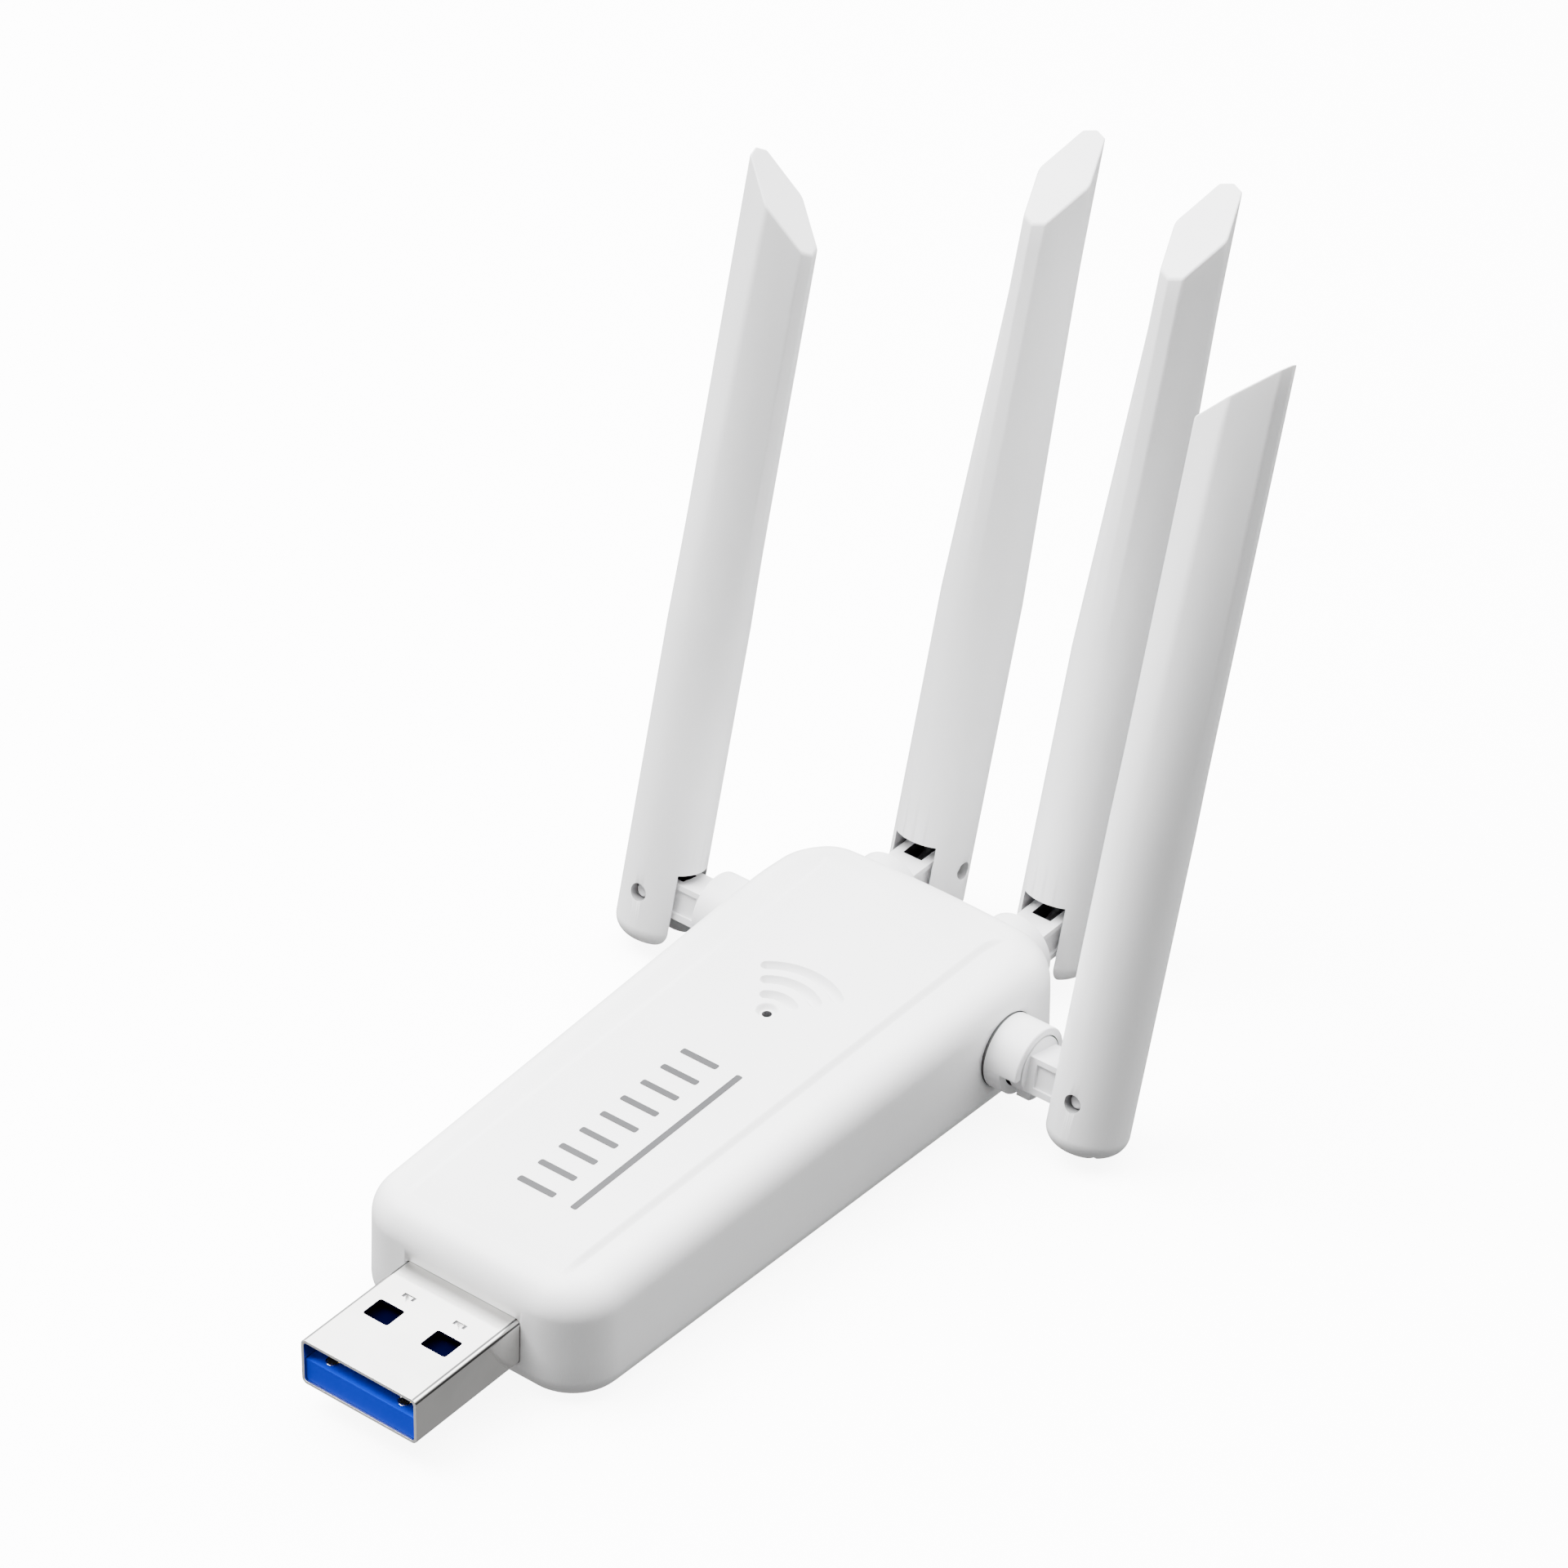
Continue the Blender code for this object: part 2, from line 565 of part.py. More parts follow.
def make_knuckle(hinge):
    """Swivelling stub with its tongue, trunnions and cable passage."""
    name = "swivel_knuckle_" + hinge["name"]
    frame = hinge["swivel"]
    inner = hinge["wall"] - WALL - hinge["seat"] - FLANGE_THICK - GAP - SNAP_THICK
    disc_start = COLLAR_END - MOUTH_DEPTH + 0.25
    profile = ((SNAP_RADIUS, inner), (SNAP_RADIUS, inner + SNAP_THICK), (SHAFT_RADIUS, inner + SNAP_THICK),
               (SHAFT_RADIUS, disc_start), (DISC_RADIUS, disc_start), (DISC_RADIUS, DISC_END - 0.15),
               (DISC_RADIUS - 0.15, DISC_END))
    knuckle = add_object(name, turned(profile, 48), "hinge_plastic", along_x())
    half = TONGUE_HALF_HEIGHT
    side = [(DISC_END - 0.6, -half), (0.0, -half)]
    side += arc((0, 0), half, -90, 90, 14)[1:]
    side += [(DISC_END - 0.6, half)]
    width = TONGUE_HALF_WIDTH
    rings = [[(x, y, z) for x, z in side] for y in (-width, width)]
    join(knuckle, add_object("tongue", loft(rings), "hinge_plastic"))
    for way in (-1, 1):
        peg = ((TRUNNION_RADIUS, 1.3), (TRUNNION_RADIUS, TRUNNION_END - 0.1),
               (TRUNNION_RADIUS - 0.1, TRUNNION_END))
        turn = Matrix.Rotation(math.radians(-90 * way), 4, "X")
        join(knuckle, add_object("trunnion", turned(peg, 24), "hinge_plastic", turn))
    lug = sector(DISC_RADIUS - 0.5, LUG_RADIUS, -LUG_HALF_ANGLE, LUG_HALF_ANGLE, 6)
    join(knuckle, add_object("lug", prism(lug, disc_start, DISC_END), "hinge_plastic", along_x()))
    passage = turned(((COAX_BORE, inner - 1), (COAX_BORE, HOLLOW_BACK + 0.5)), 20)
    cut(knuckle, add_object("passage", passage, "hinge_plastic", along_x()))
    hollow = box((HOLLOW_BACK, -HOLLOW_HALF_WIDTH, HOLLOW_FLOOR), (4, HOLLOW_HALF_WIDTH, 4))
    cut(knuckle, add_object("hollow", hollow, "hinge_plastic"))
    for way in (-1, 1):
        low = (-5.0, min(way * 1.6, way * 3), -1.25)
        high = (-2.0, max(way * 1.6, way * 3), 0.95)
        cut(knuckle, add_object("panel", box(low, high), "hinge_plastic"))
    knuckle.matrix_world = along_x(frame)
    return knuckle


def blade_ring(radius):
    """Round section of the blade, matched point for point to the tip section."""
    points = []
    for index, steps in enumerate(TIP_STEPS):
        here = TIP_SECTION[index]
        after = TIP_SECTION[(index + 1) % len(TIP_SECTION)]
        start = math.atan2(here[1], here[0])
        end = math.atan2(after[1], after[0])
        if end <= start:
            end += 2 * math.pi
        for i in range(steps):
            angle = start + (end - start) * i / steps
            points.append((radius * math.cos(angle), radius * math.sin(angle)))
    return points


def tip_ring():
    """Faceted section of the blade at its tip."""
    points = []
    for index, steps in enumerate(TIP_STEPS):
        here = TIP_SECTION[index]
        after = TIP_SECTION[(index + 1) % len(TIP_SECTION)]
        for i in range(steps):
            share = i / steps
            points.append((here[0] + (after[0] - here[0]) * share, here[1] + (after[1] - here[1]) * share))
    return points


def blade_solid():
    rings = []
    for i in range(6):
        angle = math.radians(90 * i / 5)
        radius = BLADE_RADIUS - HEEL_FILLET * (1 - math.sin(angle))
        height = -HEEL + HEEL_FILLET * (1 - math.cos(angle))
        rings.append([(u, w, height) for u, w in blade_ring(radius)])
    rings.append([(u, w, ROUND_TOP) for u, w in blade_ring(BLADE_RADIUS)])
    rings.append([(u, w, TIP_V + TIP_SLOPE * u) for u, w in tip_ring()])
    return loft(rings)


def make_sleeve(hinge):
    """Antenna sleeve: forked round heel, faceted blade, slanted tip, hollow core."""
    name = "antenna_sleeve_" + hinge["name"]
    sleeve = add_object(name, blade_solid(), "white_plastic", sharp=20)
    core = turned(((CAVITY_LOW_RADIUS, SLOT_TOP - 1.5), (CAVITY_LOW_RADIUS, ROUND_TOP),
                   (CAVITY_TOP_RADIUS, CAVITY_TOP)), 28)
    cut(sleeve, add_object("core", core, "white_plastic"))
    slot = box((-8, -SLOT_HALF_WIDTH, -12), (SLOT_OUTER, SLOT_HALF_WIDTH, SLOT_TOP))
    cut(sleeve, add_object("slot", slot, "white_plastic"))
    pin = turned(((PIVOT_HOLE, -6), (PIVOT_HOLE, 6)), 28)
    turn = Matrix.Rotation(math.radians(90), 4, "X")
    cut(sleeve, add_object("pin", pin, "white_plastic", turn))
    sleeve.data.set_sharp_from_angle(angle=math.radians(18))
    sleeve.matrix_world = hinge["blade"]
    return sleeve


def make_antenna_core(hinge):
    """Radiator and the cable riser that feeds it."""
    profile = ((RADIATOR_RADIUS, RADIATOR_BASE), (RADIATOR_RADIUS, RADIATOR_SHOULDER),
               (WHIP_RADIUS, RADIATOR_SHOULDER + 0.6), (WHIP_RADIUS, RADIATOR_TOP))
    add_object("radiator_" + hinge["name"], turned(profile, 20), "brass", hinge["blade"])
    riser = turned(((COAX_RADIUS, COAX_GAP), (COAX_RADIUS, RADIATOR_BASE - GAP)), 14)
    add_object("coax_riser_" + hinge["name"], riser, "cable_jacket", hinge["blade"])


def route_tube(name, points):
    """Round cable through world points in millimetres."""
    curve = bpy.data.curves.new(name, "CURVE")
    curve.dimensions = "3D"
    curve.bevel_depth = COAX_RADIUS * MM
    curve.bevel_resolution = 3
    curve.use_fill_caps = True
    line = curve.splines.new("POLY")
    line.points.add(len(points) - 1)
    for spot, point in zip(line.points, points):
        spot.co = (point[0] * MM, point[1] * MM, point[2] * MM, 1)
    curve.materials.append(material("cable_jacket"))
    thing = bpy.data.objects.new(name, curve)
    bpy.context.scene.collection.objects.link(thing)
    return thing


def bezier(controls, steps):
    """Points on one cubic Bezier."""
    a, b, c, d = (Vector(point) for point in controls)
    points = []
    for i in range(steps + 1):
        t = i / steps
        s = 1 - t
        points.append(a * s ** 3 + b * 3 * s * s * t + c * 3 * s * t * t + d * t ** 3)
    return points


def make_coax_leads():
    """Cables from the board pads through the hollow stubs to the tilt pivots."""
    side_level = SIDE_PIVOT[2]
    pad = BOARD_TOP + GAP + COAX_RADIUS
    for name, side in (("left", -1), ("right", 1)):
        x_end = SIDE_PIVOT[0] - COAX_GAP
        y = SIDE_PIVOT[1]
        bend = bezier(((10.4, y, side_level), (8.4, y, side_level), (7.4, y - 1.5, pad),
                       (7.4, y - 4.0, pad)), 8)
        points = [(x_end, y, side_level)] + [tuple(point) for point in bend]
        route_tube("coax_lead_" + name, [(side * p[0], p[1], p[2]) for p in points])
    for name, side in (("rear_left", -1), ("rear_right", 1)):
        x, y, z = REAR_PIVOT
        bend = bezier(((x, 28.0, z), (x, 24.5, z), (3.6, 24.0, pad), (3.6, 19.5, pad)), 10)
        points = [(x, y - COAX_GAP, z)] + [tuple(point) for point in bend]
        route_tube("coax_lead_" + name, [(side * p[0], p[1], p[2]) for p in points])


# ---------------------------------------------------------------- assembly

for old_object in list(bpy.data.objects):
    bpy.data.objects.remove(old_object)

HINGES = hinge_table()

make_top_cover()
make_bottom_cover()
make_usb_plug()
make_board()
for hinge_row in HINGES:
    make_collar(hinge_row)
    make_knuckle(hinge_row)
    make_sleeve(hinge_row)
    make_antenna_core(hinge_row)
make_coax_leads()
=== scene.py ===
"""Looks of a USB wifi range extender with four folding antennas, built round its CAD frame.

Lengths in this script are in millimetres, and every mesh is scaled to metres as it is stored.
Angles are in degrees. Z is up, and the plug points towards -Y.
"""
import json
import math

import bmesh
import bpy
import numpy as np
from mathutils import Matrix, Vector
from mathutils.geometry import delaunay_2d_cdt

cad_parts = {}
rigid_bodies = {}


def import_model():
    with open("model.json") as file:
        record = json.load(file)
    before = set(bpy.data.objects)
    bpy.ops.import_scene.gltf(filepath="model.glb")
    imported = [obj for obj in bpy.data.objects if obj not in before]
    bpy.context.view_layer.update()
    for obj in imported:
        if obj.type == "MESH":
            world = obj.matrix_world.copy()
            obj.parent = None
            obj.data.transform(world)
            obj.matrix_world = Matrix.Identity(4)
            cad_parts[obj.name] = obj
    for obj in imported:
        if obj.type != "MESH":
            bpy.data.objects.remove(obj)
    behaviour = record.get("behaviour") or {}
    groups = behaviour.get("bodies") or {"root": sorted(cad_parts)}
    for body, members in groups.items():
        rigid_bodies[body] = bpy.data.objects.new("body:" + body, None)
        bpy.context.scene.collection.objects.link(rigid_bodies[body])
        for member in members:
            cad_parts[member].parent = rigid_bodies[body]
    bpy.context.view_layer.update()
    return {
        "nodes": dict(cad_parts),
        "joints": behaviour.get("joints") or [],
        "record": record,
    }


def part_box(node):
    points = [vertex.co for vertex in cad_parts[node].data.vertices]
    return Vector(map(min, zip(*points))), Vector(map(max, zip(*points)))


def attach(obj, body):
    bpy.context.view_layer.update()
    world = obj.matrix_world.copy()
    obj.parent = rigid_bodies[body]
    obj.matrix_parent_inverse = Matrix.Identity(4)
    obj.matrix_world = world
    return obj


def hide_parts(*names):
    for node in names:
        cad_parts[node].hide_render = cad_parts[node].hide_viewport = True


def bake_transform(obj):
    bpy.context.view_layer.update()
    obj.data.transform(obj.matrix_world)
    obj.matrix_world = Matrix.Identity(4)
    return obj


for leftover in list(bpy.data.objects):
    bpy.data.objects.remove(leftover)

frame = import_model()

MM = 0.001
SIDES = ("left", "right", "rear_left", "rear_right")


def pivot(joint_name):
    """A joint's position in millimetres."""
    spot = next(j["pos_m"] for j in frame["joints"] if j["name"] == joint_name)
    return tuple(value / MM for value in spot)


def span(node):
    """A CAD node's lowest and highest corners in millimetres."""
    low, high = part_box(node)
    return low / MM, high / MM


# body, as in the CAD apart from its larger fillets at the rear and at the base
Y_FRONT = span("top_cover")[0].y
BODY_LENGTH = 63.5
Y_REAR = Y_FRONT + BODY_LENGTH
FRONT_HALF_WIDTH = 12.2
REAR_HALF_WIDTH = 14.4
FRONT_CORNER = 5.0
REAR_CORNER = 5.2
LEAST_CORNER = 0.4
REAR_BULGE = 0.7
FRONT_HEIGHT = 10.8
REAR_HEIGHT = 11.95
TOP_FILLET = 2.75
REAR_FILLET = 4.1
BASE_FILLET = 2.2
WALL_DRAFT = 0.15
WALL = 1.3
FLOOR = 1.3
PLATE_GAP = 0.2
TOP_STRIP = 0.3
FILLET_REACH = 4.6

# raised field, arcs, dimple
FIELD_RISE = 0.34
FIELD_SLOPE = 0.38
FIELD_FRONT = 3.5
FIELD_HALF_FRONT = 8.0
FIELD_HALF_REAR = 8.95
FLARE_FROM = 24.0
FLARE_REACH = 1.0
FIELD_END = 28.4
FIELD_FRONT_FADE = (-1.8, 2.4)
FIELD_REAR_FADE = 2.6
DIMPLE_Y = 7.3
DIMPLE_RADIUS = 1.02
DIMPLE_DEPTH = 0.44
DIMPLE_FLAT = 0.12
PINHOLE_RADIUS = 0.44
PINHOLE_DEPTH = 1.0
ARC_Y = 7.1
ARC_RADII = (2.25, 4.28, 6.22)
ARC_HALF_WIDTH = 0.55
ARC_HALF_ANGLE = 37.0
ARC_DEPTH = 0.9
GRID_PITCH = 0.9
GRID_HALF_WIDTH = 13.2

# printed scale
PRINT_START = -22.4
LINE_X = 3.7
LINE_HALF_WIDTH = 0.32
LINE_END = -0.9
TICK_X = -0.3
TICK_HALF_WIDTH = 1.9
TICK_LENGTH = 0.7
TICK_PITCH = 2.6
TICK_COUNT = 9
INK_CORNER = 0.2
INK_LOW = 0.004
INK_HIGH = 0.016

# plug
SHELL_LOW, SHELL_HIGH = span("usb_shell")
PLUG_Z = (SHELL_LOW.z + SHELL_HIGH.z) / 2
PLUG_Y = SHELL_LOW.y
SHELL_HALF_X = SHELL_HIGH.x
SHELL_HALF_Z = (SHELL_HIGH.z - SHELL_LOW.z) / 2
SHELL_WALL = 0.3
SHELL_CORNER = 0.55
SHELL_INNER_CORNER = 0.3
LIP_EDGE = 0.02
LIP_LENGTH = 0.03
SEAM_HALF_WIDTH = 0.02
MOUTH_GAP = 0.03
WINDOW_X = 3.0
WINDOW_MID = 6.5
WINDOW_HALF_X = 1.3
WINDOW_HALF_Y = 1.12
WINDOW_CORNER = 0.25
MARK_X = 2.65
MARK_BACK = 8.9
MARK_DEPTH = 0.12
# pieces of a stamped mark: offset in X and Y, then size in X and Y
MARK_PIECES = ((-0.6, 0.0, 0.26, 0.5), (0.34, 0.0, 0.26, 0.5), (-0.4, 0.4, 0.8, 0.1))
# where the painted dark reflection bands run on the shell's upper folds: angles from upright, in degrees
DARK_REFLECTION_BANDS = ((8.0, 28.0), (53.0, 73.0))
CARRIER_FRONT = 0.2
CARRIER_STEP = 5.2
CARRIER_THICK = 2.0
CARRIER_GAP = 0.03
# recess in the carrier under the upper windows, its faces painted near-black as shade
RECESS_HALF_WIDTH = 5.6
RECESS_START = 5.0
RECESS_END = 9.4
RECESS_DEPTH = 1.0
CONTACT_THICK = 0.1
GROOVE_SIDE = 0.1
GROOVE_TOP = 0.25
BLADE_TIP_DROP = 0.03
WELL_X = 3.75
WELL_BACK = 1.25
WELL_RADIUS = 0.6
WELL_CORE = 0.46
WELL_RISE = 0.13

# hinges
PORT_GAP = 0.045
PORT_LIFT = 0.04
COLLAR_RADIUS = 3.4
COLLAR_BORE = 2.6
COLLAR_MOUTH = 2.72
COLLAR_END = -5.82
COLLAR_EDGE = 0.16
COLLAR_STEP = 0.04
COLLAR_DEPTH = 2.4
REAR_COLLAR_INSET = 1.6
MOUTH_DEPTH = 1.48
NOTCH_DEPTH = 1.68
# where a collar's mouth is open, in degrees round it; the rear left collar's is mirrored
SIDE_NOTCH = (-91.0, 91.0)
REAR_NOTCH = (-17.0, 91.0)
DISC_RADIUS = 2.6
DISC_END = -5.75
DISC_EDGE = 0.06
DISC_GAP = 0.25
SHAFT_RADIUS = 2.3
SHAFT_DEPTH = 3.5
SHAFT_BORE = 0.9
LUG_RADIUS = 3.25
LUG_HALF_ANGLE = 13.0
TONGUE_HALF = 1.85
TONGUE_TOP = 1.45
TRUNNION_RADIUS = 0.62
TRUNNION_END = 2.9
TRUNNION_EDGE = 0.12
COAX_RADIUS = 0.55
COAX_GAP = 0.85
HOLLOW_HALF_WIDTH = 1.0
HOLLOW_FLOOR = -0.85
HOLLOW_BACK = -2.75
PANEL_DEPTH = 1.6
PANEL_LOW = (-5.0, -1.25)
PANEL_HIGH = (-2.0, 0.95)
FLEX_REACH = 3.2
FLEX_PULL = 0.5
SIDE_LEAN = 14.0
REAR_FOLD = 76.0

# antenna blade
BLADE_RADIUS = 3.6
HEEL = 5.1
HEEL_FILLET = 1.8
ROUND_TOP = 25.0
TIP_V = 63.33
TIP_SLOPE = 0.958
TIP_EDGE = 0.22
TIP_SECTION = ((3.76, 0.0), (3.41, 1.15), (0.0, 2.62), (-3.41, 1.15), (-3.76, 0.0),
               (-3.41, -1.15), (0.0, -2.62), (3.41, -1.15))
SLOT_HALF_WIDTH = 2.15
SLOT_TOP = 2.35
SLOT_OUTER = 2.3
PIVOT_HOLE = 0.82
CORE_RADIUS = 2.3
CORE_TOP = 24.0


# ---------------------------------------------------------------- materials

def new_material(name):
    """New node material, with its tree and its shader."""
    made = bpy.data.materials.new(name)
    made.use_nodes = True
    tree = made.node_tree
    return made, tree, tree.nodes["Principled BSDF"]


def object_coords(tree, stretch=(1, 1, 1)):
    """Object coordinates, scaled per axis."""
    coords = tree.nodes.new("ShaderNodeTexCoord")
    mapping = tree.nodes.new("ShaderNodeMapping")
    mapping.inputs["Scale"].default_value = stretch
    tree.links.new(coords.outputs["Object"], mapping.inputs["Vector"])
    return mapping.outputs["Vector"]


def noise(tree, vector, scale, detail=2.0, roughness=0.5):
    """Noise between 0 and 1."""
    node = tree.nodes.new("ShaderNodeTexNoise")
    node.inputs["Scale"].default_value = scale
    node.inputs["Detail"].default_value = detail
    node.inputs["Roughness"].default_value = roughness
    tree.links.new(vector, node.inputs["Vector"])
    return node.outputs["Fac"]


def ramp(tree, fac, low, high, start=0.3, end=0.7):
    """Map a 0-1 value to a range between start and end of the input."""
    node = tree.nodes.new("ShaderNodeMapRange")
    node.inputs["From Min"].default_value = start
    node.inputs["From Max"].default_value = end
    node.inputs["To Min"].default_value = low
    node.inputs["To Max"].default_value = high
    tree.links.new(fac, node.inputs["Value"])
    return node.outputs["Result"]


def colours(tree, fac, low, high, start=0.3, end=0.7):
    """Blend between two colours over a 0-1 value."""
    node = tree.nodes.new("ShaderNodeValToRGB")
    node.color_ramp.elements[0].position = start
    node.color_ramp.elements[0].color = (*low, 1)
    node.color_ramp.elements[1].position = end
    node.color_ramp.elements[1].color = (*high, 1)
    tree.links.new(fac, node.inputs["Fac"])
    return node.outputs["Color"]


def bump(tree, shader, height, strength, distance):
    """Fine relief on a shader, up to distance in metres."""
    node = tree.nodes.new("ShaderNodeBump")
    node.inputs["Strength"].default_value = strength
    node.inputs["Distance"].default_value = distance
    tree.links.new(height, node.inputs["Height"])
    tree.links.new(node.outputs["Normal"], shader.inputs["Normal"])


def moulded_plastic(name, low, high, rough_low, rough_high, grain=9000.0, strength=0.12,
                    softness=0.0, shine=0.5):
    """Moulded plastic: fine spark-eroded grain, slow colour drift, patchy gloss."""
    made, tree, shader = new_material(name)
    where = object_coords(tree)
    drift = noise(tree, where, 60.0, 3.0)
    tree.links.new(colours(tree, drift, low, high), shader.inputs["Base Color"])
    patches = noise(tree, where, 260.0, 5.0, 0.6)
    tree.links.new(ramp(tree, patches, rough_low, rough_high), shader.inputs["Roughness"])
    fine = noise(tree, where, grain, 3.0, 0.55)
    bump(tree, shader, fine, strength, 0.00002)
    shader.inputs["Specular IOR Level"].default_value = shine
    if softness:
        shader.inputs["Subsurface Weight"].default_value = softness
        shader.inputs["Subsurface Scale"].default_value = 0.0012
        shader.inputs["Subsurface Radius"].default_value = (1.0, 0.9, 0.8)
    return made


def plated_metal(name, low, high, rough_low, rough_high, stretch, strength=0.05, metal=1.0):
    """Plated sheet metal with fine drawing lines and faint finger haze."""
    made, tree, shader = new_material(name)
    shader.inputs["Metallic"].default_value = metal
    where = object_coords(tree)
    haze = noise(tree, where, 180.0, 4.0)
    tree.links.new(colours(tree, haze, low, high), shader.inputs["Base Color"])
    tree.links.new(ramp(tree, haze, rough_low, rough_high), shader.inputs["Roughness"])
    lines = noise(tree, object_coords(tree, stretch), 1.0, 4.0, 0.6)
    bump(tree, shader, lines, strength, 0.00001)
    return made


def solder_resist(name):
    """Green board: traces show faintly through the resist."""
    made, tree, shader = new_material(name)
    where = object_coords(tree)
    cells = tree.nodes.new("ShaderNodeTexVoronoi")
    cells.distance = "MANHATTAN"
    cells.inputs["Scale"].default_value = 700.0
    tree.links.new(where, cells.inputs["Vector"])
    paint = colours(tree, cells.outputs["Distance"], (0.01, 0.1, 0.04), (0.02, 0.17, 0.07), 0.2, 0.6)
    tree.links.new(paint, shader.inputs["Base Color"])
    shader.inputs["Roughness"].default_value = 0.35
    bump(tree, shader, cells.outputs["Distance"], 0.2, 0.00003)
    return made


WHITE = moulded_plastic("white_moulded", (0.79, 0.79, 0.795), (0.83, 0.83, 0.835), 0.36, 0.46,
                        softness=0.06)
HINGE = moulded_plastic("hinge_moulded", (0.75, 0.75, 0.76), (0.80, 0.80, 0.81), 0.40, 0.50,
                        grain=7000.0, softness=0.06)
INK = moulded_plastic("printed_grey", (0.040, 0.040, 0.043), (0.055, 0.055, 0.058), 0.5, 0.65,
                      grain=14000.0, strength=0.2, shine=0.25)
BLUE = moulded_plastic("blue_moulded", (0.0, 0.026, 0.54), (0.0, 0.038, 0.66), 0.4, 0.5,
                       grain=6000.0, shine=0.06)
# near-black painted shade for the latch windows' walls and for the carrier's recess under them
SHADE_NAVY = moulded_plastic("painted_shade_navy", (0.0, 0.0, 0.006), (0.0005, 0.0005, 0.01), 0.7, 0.8, shine=0.0)
# black for the chips and ferrites; the same material is painted shade on the latch wells' cores, the collar
# and knuckle bores, the knuckle's hollow and disc sides and the blade's core
BLACK_AND_PAINTED_SHADE = moulded_plastic("black_plastic_and_painted_shade", (0.012, 0.012, 0.014), (0.022, 0.022, 0.025), 0.4,
                               0.6, grain=5000.0, strength=0.2)
# dark grey painted as shade on the walls of the plug mouth and side ports, on the collars' roots and in the
# stamped marks
DEEP_SHADE = moulded_plastic("painted_deep_shade", (0.10, 0.10, 0.105), (0.14, 0.14, 0.145), 0.6, 0.75)
SHADE = moulded_plastic("shaded_grey", (0.28, 0.28, 0.285), (0.33, 0.33, 0.335), 0.5, 0.65)
JACKET = moulded_plastic("cable_black", (0.014, 0.014, 0.016), (0.026, 0.026, 0.028), 0.38, 0.5,
                         grain=3000.0)
LENS = moulded_plastic("pale_lens", (0.8, 0.83, 0.66), (0.86, 0.88, 0.72), 0.12, 0.2)
NICKEL = plated_metal("nickel_plate", (0.66, 0.655, 0.64), (0.74, 0.73, 0.715), 0.07, 0.13,
                      (9000, 500, 9000))
# near-black nickel painted on bands of the shell's upper folds as dark reflection lines
NICKEL_DARK_REFLECTION = plated_metal("nickel_painted_dark_reflection", (0.08, 0.08, 0.08), (0.11, 0.11, 0.11), 0.2, 0.3,
                           (9000, 500, 9000))
SHEARED = plated_metal("sheared_edge", (0.5, 0.5, 0.5), (0.6, 0.6, 0.6), 0.4, 0.55,
                       (3000, 9000, 9000), metal=0.3)
GOLD = plated_metal("gold_flash", (0.80, 0.55, 0.19), (0.88, 0.64, 0.26), 0.16, 0.28,
                    (6000, 600, 6000))
TIN = plated_metal("tinned_sheet", (0.55, 0.56, 0.57), (0.66, 0.67, 0.68), 0.25, 0.4,
                   (800, 5000, 800))
BRASS = plated_metal("bare_brass", (0.62, 0.42, 0.15), (0.72, 0.5, 0.2), 0.22, 0.34,
                     (5000, 5000, 400))
BOARD = solder_resist("board_resist")

SLOT_MATERIALS = {"white_plastic": WHITE, "hinge_plastic": HINGE, "nickel": NICKEL, "blue_plastic": BLUE,
                  "gold": GOLD, "board_green": BOARD, "tin": TIN, "chip_black": BLACK_AND_PAINTED_SHADE,
                  "ferrite": BLACK_AND_PAINTED_SHADE, "led_lens": LENS, "cable_jacket": JACKET, "brass": BRASS}


# ---------------------------------------------------------------- mesh helpers

def store(name, bm, look, matrix=None, sharp=35.0):
    """Store a bmesh drawn in millimetres as a metre object."""
    bmesh.ops.scale(bm, vec=(MM, MM, MM), verts=bm.verts)
    bmesh.ops.recalc_face_normals(bm, faces=bm.faces)
    mesh = bpy.data.meshes.new(name)
    bm.to_mesh(mesh)
    bm.free()
    mesh.materials.append(look)
    mesh.shade_smooth()
    mesh.set_sharp_from_angle(angle=math.radians(sharp))
    thing = bpy.data.objects.new(name, mesh)
    bpy.context.scene.collection.objects.link(thing)
    if matrix is not None:
        thing.matrix_world = matrix
    return thing


def bake_modifiers(thing, sharp=None):
    """Apply an object's modifiers to its mesh; without sharp its normals stay as made."""
    graph = bpy.context.evaluated_depsgraph_get()
    made = bpy.data.meshes.new_from_object(thing.evaluated_get(graph))
    thing.modifiers.clear()
    old = thing.data
    thing.data = made
    bpy.data.meshes.remove(old)
    if sharp is not None:
        made.shade_smooth()
        made.set_sharp_from_angle(angle=math.radians(sharp))


def combine(target, tool, operation, sharp=35.0):
    """Apply one exact Boolean and remove the tool."""
    step = target.modifiers.new("combine", "BOOLEAN")
    step.operation = operation
    step.solver = "EXACT"
    step.material_mode = "TRANSFER"
    step.object = tool
    bake_modifiers(target, sharp)
    tool_mesh = tool.data
    bpy.data.objects.remove(tool)
    bpy.data.meshes.remove(tool_mesh)


def cut(target, bm, matrix=None, look=None):
    """Cut a solid away; the new faces take look, or the target's own material."""
    tool = store("tool", bm, look or target.data.materials[0], matrix)
    combine(target, tool, "DIFFERENCE")


def join(target, bm, matrix=None, look=None):
    """Add a solid, in look or in the target's own material."""
    combine(target, store("tool", bm, look or target.data.materials[0], matrix), "UNION")


def repaint(thing, look, chosen):
    """Give look to the faces that chosen picks."""
    looks = thing.data.materials
    looks.append(look)
    for face in thing.data.polygons:
        if chosen(face):
            face.material_index = len(looks) - 1


def soften(thing, width, angle=40.0, segments=2):
    """Round every edge sharper than angle."""
    step = thing.modifiers.new("soften", "BEVEL")
    step.width = width * MM
    step.segments = segments
    step.limit_method = "ANGLE"
    step.angle_limit = math.radians(angle)
    step.use_clamp_overlap = True
    level = thing.modifiers.new("level", "WEIGHTED_NORMAL")
    level.mode = "FACE_AREA"
    level.weight = 50
    level.keep_sharp = False
    bake_modifiers(thing)


